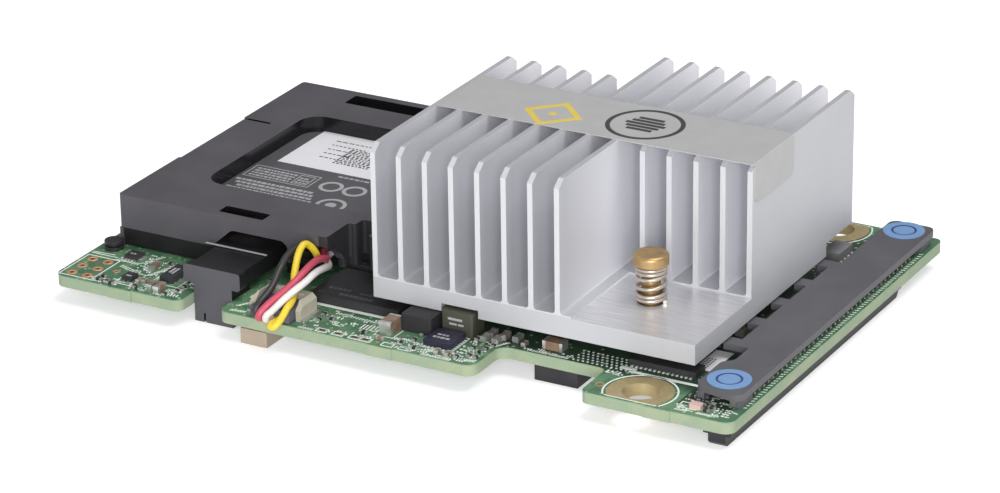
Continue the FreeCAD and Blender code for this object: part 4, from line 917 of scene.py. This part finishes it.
def makeSmallParts():                     # chip resistors and capacitors with plated ends
    look = smallParts
    bodies = {"dark": bmesh.new(), "tan": bmesh.new(), "tall": bmesh.new()}
    ends = bmesh.new()
    for kind, shape in bodies.items():
        height = look["height"] * look["rise"][kind]
        length = look["length"] * look["grow"][kind]
        width = look["width"] * look["grow"][kind]
        end = look["end"] * look["grow"][kind]
        for x, y, turn in look[kind]:
            along = Vector((math.cos(math.radians(turn)), math.sin(math.radians(turn)), 0))
            block(shape, x - length / 2 + 0.02, y - width / 2 + 0.02, boardTop, length - 0.04, width - 0.04,
                  height - 0.03, look["edge"], turn)
            for side in (-1, 1):
                reach = side * (length - end) / 2
                block(ends, x + along.x * reach - end / 2, y + along.y * reach - width / 2, boardTop,
                      end, width, height, look["edge"], turn)
    placePiece("resistor_bodies", bodies["dark"], "ferrite")
    placePiece("capacitor_bodies", bodies["tan"], "ceramic")
    placePiece("tall_capacitor_bodies", bodies["tall"], "greyCeramic")
    placePiece("small_part_ends", ends, "tin")


makeSmallParts()

edgeRow = {
    "x": 98.05, "first": 4.6, "last": 58.5, "pitch": 1.62, "width": 1.0, "depth": 1.15, "height": 0.95,
    "tan": (0, 3, 11, 19, 20), "end": 0.28, "toothFront": 19.15, "toothPitch": 6.95, "toothX": 90.95,
}


def makeEdgeRow():                        # the row of parts under the touch strip's outer edge
    look = edgeRow
    count = int((look["last"] - look["first"]) / look["pitch"])
    dark = bmesh.new()
    tan = bmesh.new()
    ends = bmesh.new()
    for index in range(count):
        left = look["x"] - look["width"] / 2
        y = look["first"] + index * look["pitch"]
        lift = look["height"] * random.uniform(0.6, 1.0)
        body = tan if index in look["tan"] else dark
        block(body, left, y, boardTop, look["width"], look["depth"], lift, 0.05)
        for near in (y - 0.01, y + look["depth"] - look["end"] + 0.01):
            block(ends, left - 0.02, near, boardTop, look["width"] + 0.04, look["end"], lift + 0.02, 0.03)
    for index in range(4):                # parts seen between the strip's teeth
        near = look["toothFront"] + index * look["toothPitch"]
        if index in (1, 2):
            block(dark, look["toothX"], near + 0.5, boardTop, 1.25, 3.8, 1.1, 0.06)
        else:
            block(tan if index == 0 else dark, look["toothX"], near + 0.5, boardTop, 1.2, 1.3, 0.9, 0.06)
            block(dark, look["toothX"], near + 2.2, boardTop, 1.2, 1.9, 1.0, 0.06)
            ticks(ends, (92.2, near + 2.5), (92.2, near + 3.8), boardTop, 3, 0.2, 0.25, 0.3)
    placePiece("edge_parts_dark", dark, "ferrite")
    placePiece("edge_parts_tan", tan, "ceramic")
    placePiece("edge_part_ends", ends, "dullTin")


makeEdgeRow()
print("stage: small parts")

boardLabel = {"left": 88.8, "front": 12.5, "width": 2.5, "depth": 6.2, "thick": 0.06, "printThick": 0.015}


def makeBoardLabel():                     # paper label on the board with plain rows
    look = boardLabel
    shape = bmesh.new()
    block(shape, look["left"], look["front"], boardTop, look["width"], look["depth"], look["thick"], 0.02)
    placePiece("board_label", shape, "sticker")
    shape = bmesh.new()
    floor = boardTop + look["thick"]
    for column in range(3):
        x = look["left"] + 0.35 + column * 0.45
        start = (x, look["front"] + 0.7)
        end = (x, look["front"] + 3.4)
        ticks(shape, start, end, floor, 6, 0.25, 0.3, look["printThick"])
    placePiece("board_label_print", shape, "blackInk")


makeBoardLabel()

packageFeet = {                           # start, end, number of feet, their width, length and height
    "power_chip": (
        ((55.35, 2.72), (58.65, 2.72), 7, 0.26, 0.42, 0.06),
        ((55.35, 7.02), (58.65, 7.02), 7, 0.26, 0.42, 0.06),
        ((59.18, 3.25), (59.18, 6.55), 7, 0.42, 0.26, 0.06),
        ((54.88, 3.25), (54.88, 6.55), 7, 0.42, 0.26, 0.06),
    ),
    "low_bar": (
        ((81.6, 12.45), (89.8, 12.45), 14, 0.3, 0.35, 0.12),
        ((81.6, 9.45), (89.8, 9.45), 14, 0.3, 0.35, 0.12),
    ),
    "rear_chip": (
        ((91.2, 51.3), (91.2, 54.7), 4, 0.5, 0.4, 0.2), ((88.4, 51.3), (88.4, 54.7), 4, 0.5, 0.4, 0.2),
    ),
    "quad_chip": (
        ((5.7, 8.35), (7.3, 8.35), 6, 0.18, 0.45, 0.12), ((7.75, 8.8), (7.75, 10.4), 6, 0.45, 0.18, 0.12),
    ),
}


def makePackageFeet():                    # solder feet of the leadless and ball-mounted packages
    shape = bmesh.new()
    for rows in packageFeet.values():
        for start, end, count, width, length, height in rows:
            ticks(shape, start, end, boardTop, count, width, length, height)
    placePiece("package_feet", shape, "dots")


makePackageFeet()

contacts = {
    "count": 48, "width": 0.35, "deep": 0.16, "tall": 1.5, "lift": 0.15,
    "slotFromRight": 1.8, "endGap": 2.4, "rowOffset": 0.36,
}


def makeContacts():                       # two rows of contacts in the connector's slot
    look = contacts
    low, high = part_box("mezzanine_connector")
    slotMiddle = (high[0] - zeroX) / mm - look["slotFromRight"]
    near = (low[1] - zeroY) / mm + look["endGap"]
    reach = (high[1] - low[1]) / mm - 2 * look["endGap"] - look["width"]
    floor = low[2] / mm + look["lift"]
    shape = bmesh.new()
    for index in range(look["count"]):
        y = near + index * reach / (look["count"] - 1)
        for side in (-1, 1):
            x = slotMiddle + side * look["rowOffset"] - look["deep"] / 2
            block(shape, x, y, floor, look["deep"], look["width"], look["tall"], 0.03)
    placePiece("connector_contacts", shape, "brightGold")


makeContacts()

underside = {
    "thick": 0.025, "rows": (6.0, 20.0, 34.0, 48.0),
    "outlines": ((67.9, 7.4, 7.2, 6.5, 0.16), (28.7, 5.25, 4.8, 0.16, 0.08)),
    "rings": ((11.2, 50.3), (79.9, 18.0), (55.7, 50.6)), "ringInner": 3.1, "ringOuter": 3.25,
    "headerJoints": [(31.7 + column * 1.1, 3.6) for column in range(4)],
    "ballJoints": [(63.2 + column * 1.0, 22.0 + row * 1.0) for row in range(9) for column in range(9)],
    "parts": [(62.0 + column * 2.1, 33.4, 90) for column in range(6)]
             + [(24.0 + column * 2.0, 30.0, 0) for column in range(5)]
             + [(88.0, 20.0 + row * 2.2, 0) for row in range(8)]
             + [(40.0, 14.0 + row * 2.0, 90) for row in range(4)],
}


def makeUnderside():                      # solder joints, print and a few small parts below the board
    look = underside
    thick = look["thick"]
    shape = bmesh.new()
    for left, near, width, depth, line in look["outlines"]:
        outline(shape, left, near, -thick, width, depth, line, thick)
    for x, y in look["rings"]:
        ring(shape, x, y, -thick, look["ringInner"], look["ringOuter"], thick, 40)
    for y in look["rows"]:
        dashes(shape, 12.0, y + 4.2, -thick, 9.0, 0.5, thick, 0.3, 0.9, 0.3)
        dashes(shape, 60.0, y + 2.0, -thick, 6.0, 0.5, thick, 0.3, 0.9, 0.3)
    placePiece("underside_print", shape, "whiteInk")
    shape = bmesh.new()
    for x, y in look["headerJoints"]:
        disc(shape, x, y, -0.35, 0.36, 0.35, 16)
    for x, y in look["ballJoints"]:
        disc(shape, x, y, -0.04, 0.16, 0.04, 8)
    placePiece("underside_joints", shape, "tin", True)
    bodies = bmesh.new()
    ends = bmesh.new()
    for x, y, turn in look["parts"]:
        along = Vector((math.cos(math.radians(turn)), math.sin(math.radians(turn)), 0)) * 0.39
        block(bodies, x - 0.48, y - 0.23, -0.4, 0.96, 0.46, 0.4, 0.04, turn)
        for side in (-1, 1):
            left = x + along.x * side - 0.13
            near = y + along.y * side - 0.26
            block(ends, left, near, -0.43, 0.26, 0.52, 0.43, 0.04, turn)
    placePiece("underside_parts", bodies, "ceramic")
    placePiece("underside_part_ends", ends, "tin")


makeUnderside()
print("stage: underside")

studio = {
    "floorMiddle": (50, 32),
    "floorDrop": 2.42,
    "floorSize": 6.0,
    "floorColour": (0.80, 0.80, 0.80),
    "floorLift": 0.46,
    "worldStrength": 0.27,
}


def makeFloor():
    shape = bmesh.new()
    bmesh.ops.create_grid(shape, x_segments=1, y_segments=1, size=studio["floorSize"] / 2)
    bmesh.ops.translate(shape, verts=shape.verts, vec=at(*studio["floorMiddle"], -studio["floorDrop"]))
    mesh = bpy.data.meshes.new("floor")
    shape.to_mesh(mesh)
    shape.free()
    floor = bpy.data.objects.new("floor", mesh)
    bpy.context.scene.collection.objects.link(floor)
    finish = Finish("floorPaper")
    finish.set("Base Color", studio["floorColour"])
    finish.set("Roughness", 0.95)
    finish.set("Specular IOR Level", 0.0)
    seen = finish.add("ShaderNodeLightPath", {}, {}, "Is Camera Ray")
    strength = (seen + seen.other("Is Glossy Ray")).clip() * studio["floorLift"]
    glow = finish.add("ShaderNodeEmission", {}, {"Color": (1.0, 1.0, 1.0), "Strength": strength})
    paper = Link(finish, finish.shader.outputs[0])
    both = finish.add("ShaderNodeAddShader", {}, {0: paper, 1: glow})
    finish.feed(finish.tree.nodes["Material Output"].inputs["Surface"], both)
    mesh.materials.append(finish.material)


def makeWorld():                          # even white surround, seen as plain white by the camera
    world = bpy.data.worlds.new("studio")
    bpy.context.scene.world = world
    world.use_nodes = True
    nodes = world.node_tree.nodes
    links = world.node_tree.links
    background = nodes["Background"]
    background.inputs["Color"].default_value = (1, 1, 1, 1)
    rays = nodes.new("ShaderNodeLightPath")
    seen = nodes.new("ShaderNodeMath")
    seen.operation = "MAXIMUM"
    links.new(rays.outputs["Is Camera Ray"], seen.inputs[0])
    links.new(rays.outputs["Is Transmission Ray"], seen.inputs[1])
    pick = nodes.new("ShaderNodeMix")
    pick.data_type = "FLOAT"
    links.new(seen.outputs[0], pick.inputs[0])
    pick.inputs[2].default_value = studio["worldStrength"]
    pick.inputs[3].default_value = 1.0
    links.new(pick.outputs[0], background.inputs["Strength"])


lamps = {                                 # place and aim in board millimetres, size in metres, power in watts
    "key": {"place": (370, -600, 205), "aim": (55, 30, 8), "size": 0.4, "power": 4.35},
    "left": {"place": (-500, -300, 300), "aim": (40, 30, 8), "size": 0.5, "power": 0.7},
    "top": {"place": (330, 80, 760), "aim": (50, 30, 0), "size": 0.5, "power": 3.7},
}


def makeLamp(name, look):
    light = bpy.data.lights.new(name, "AREA")
    light.shape = "SQUARE"
    light.size = look["size"]
    light.energy = look["power"]
    lamp = bpy.data.objects.new(name, light)
    bpy.context.scene.collection.objects.link(lamp)
    place = at(*look["place"])
    turn = (at(*look["aim"]) - place).to_track_quat("-Z", "Y")
    lamp.matrix_world = Matrix.Translation(place) @ turn.to_matrix().to_4x4()


makeFloor()
makeWorld()
bpy.context.scene.view_settings.view_transform = "Standard"
for name, look in lamps.items():
    makeLamp(name, look)
print("stage: floor and light")
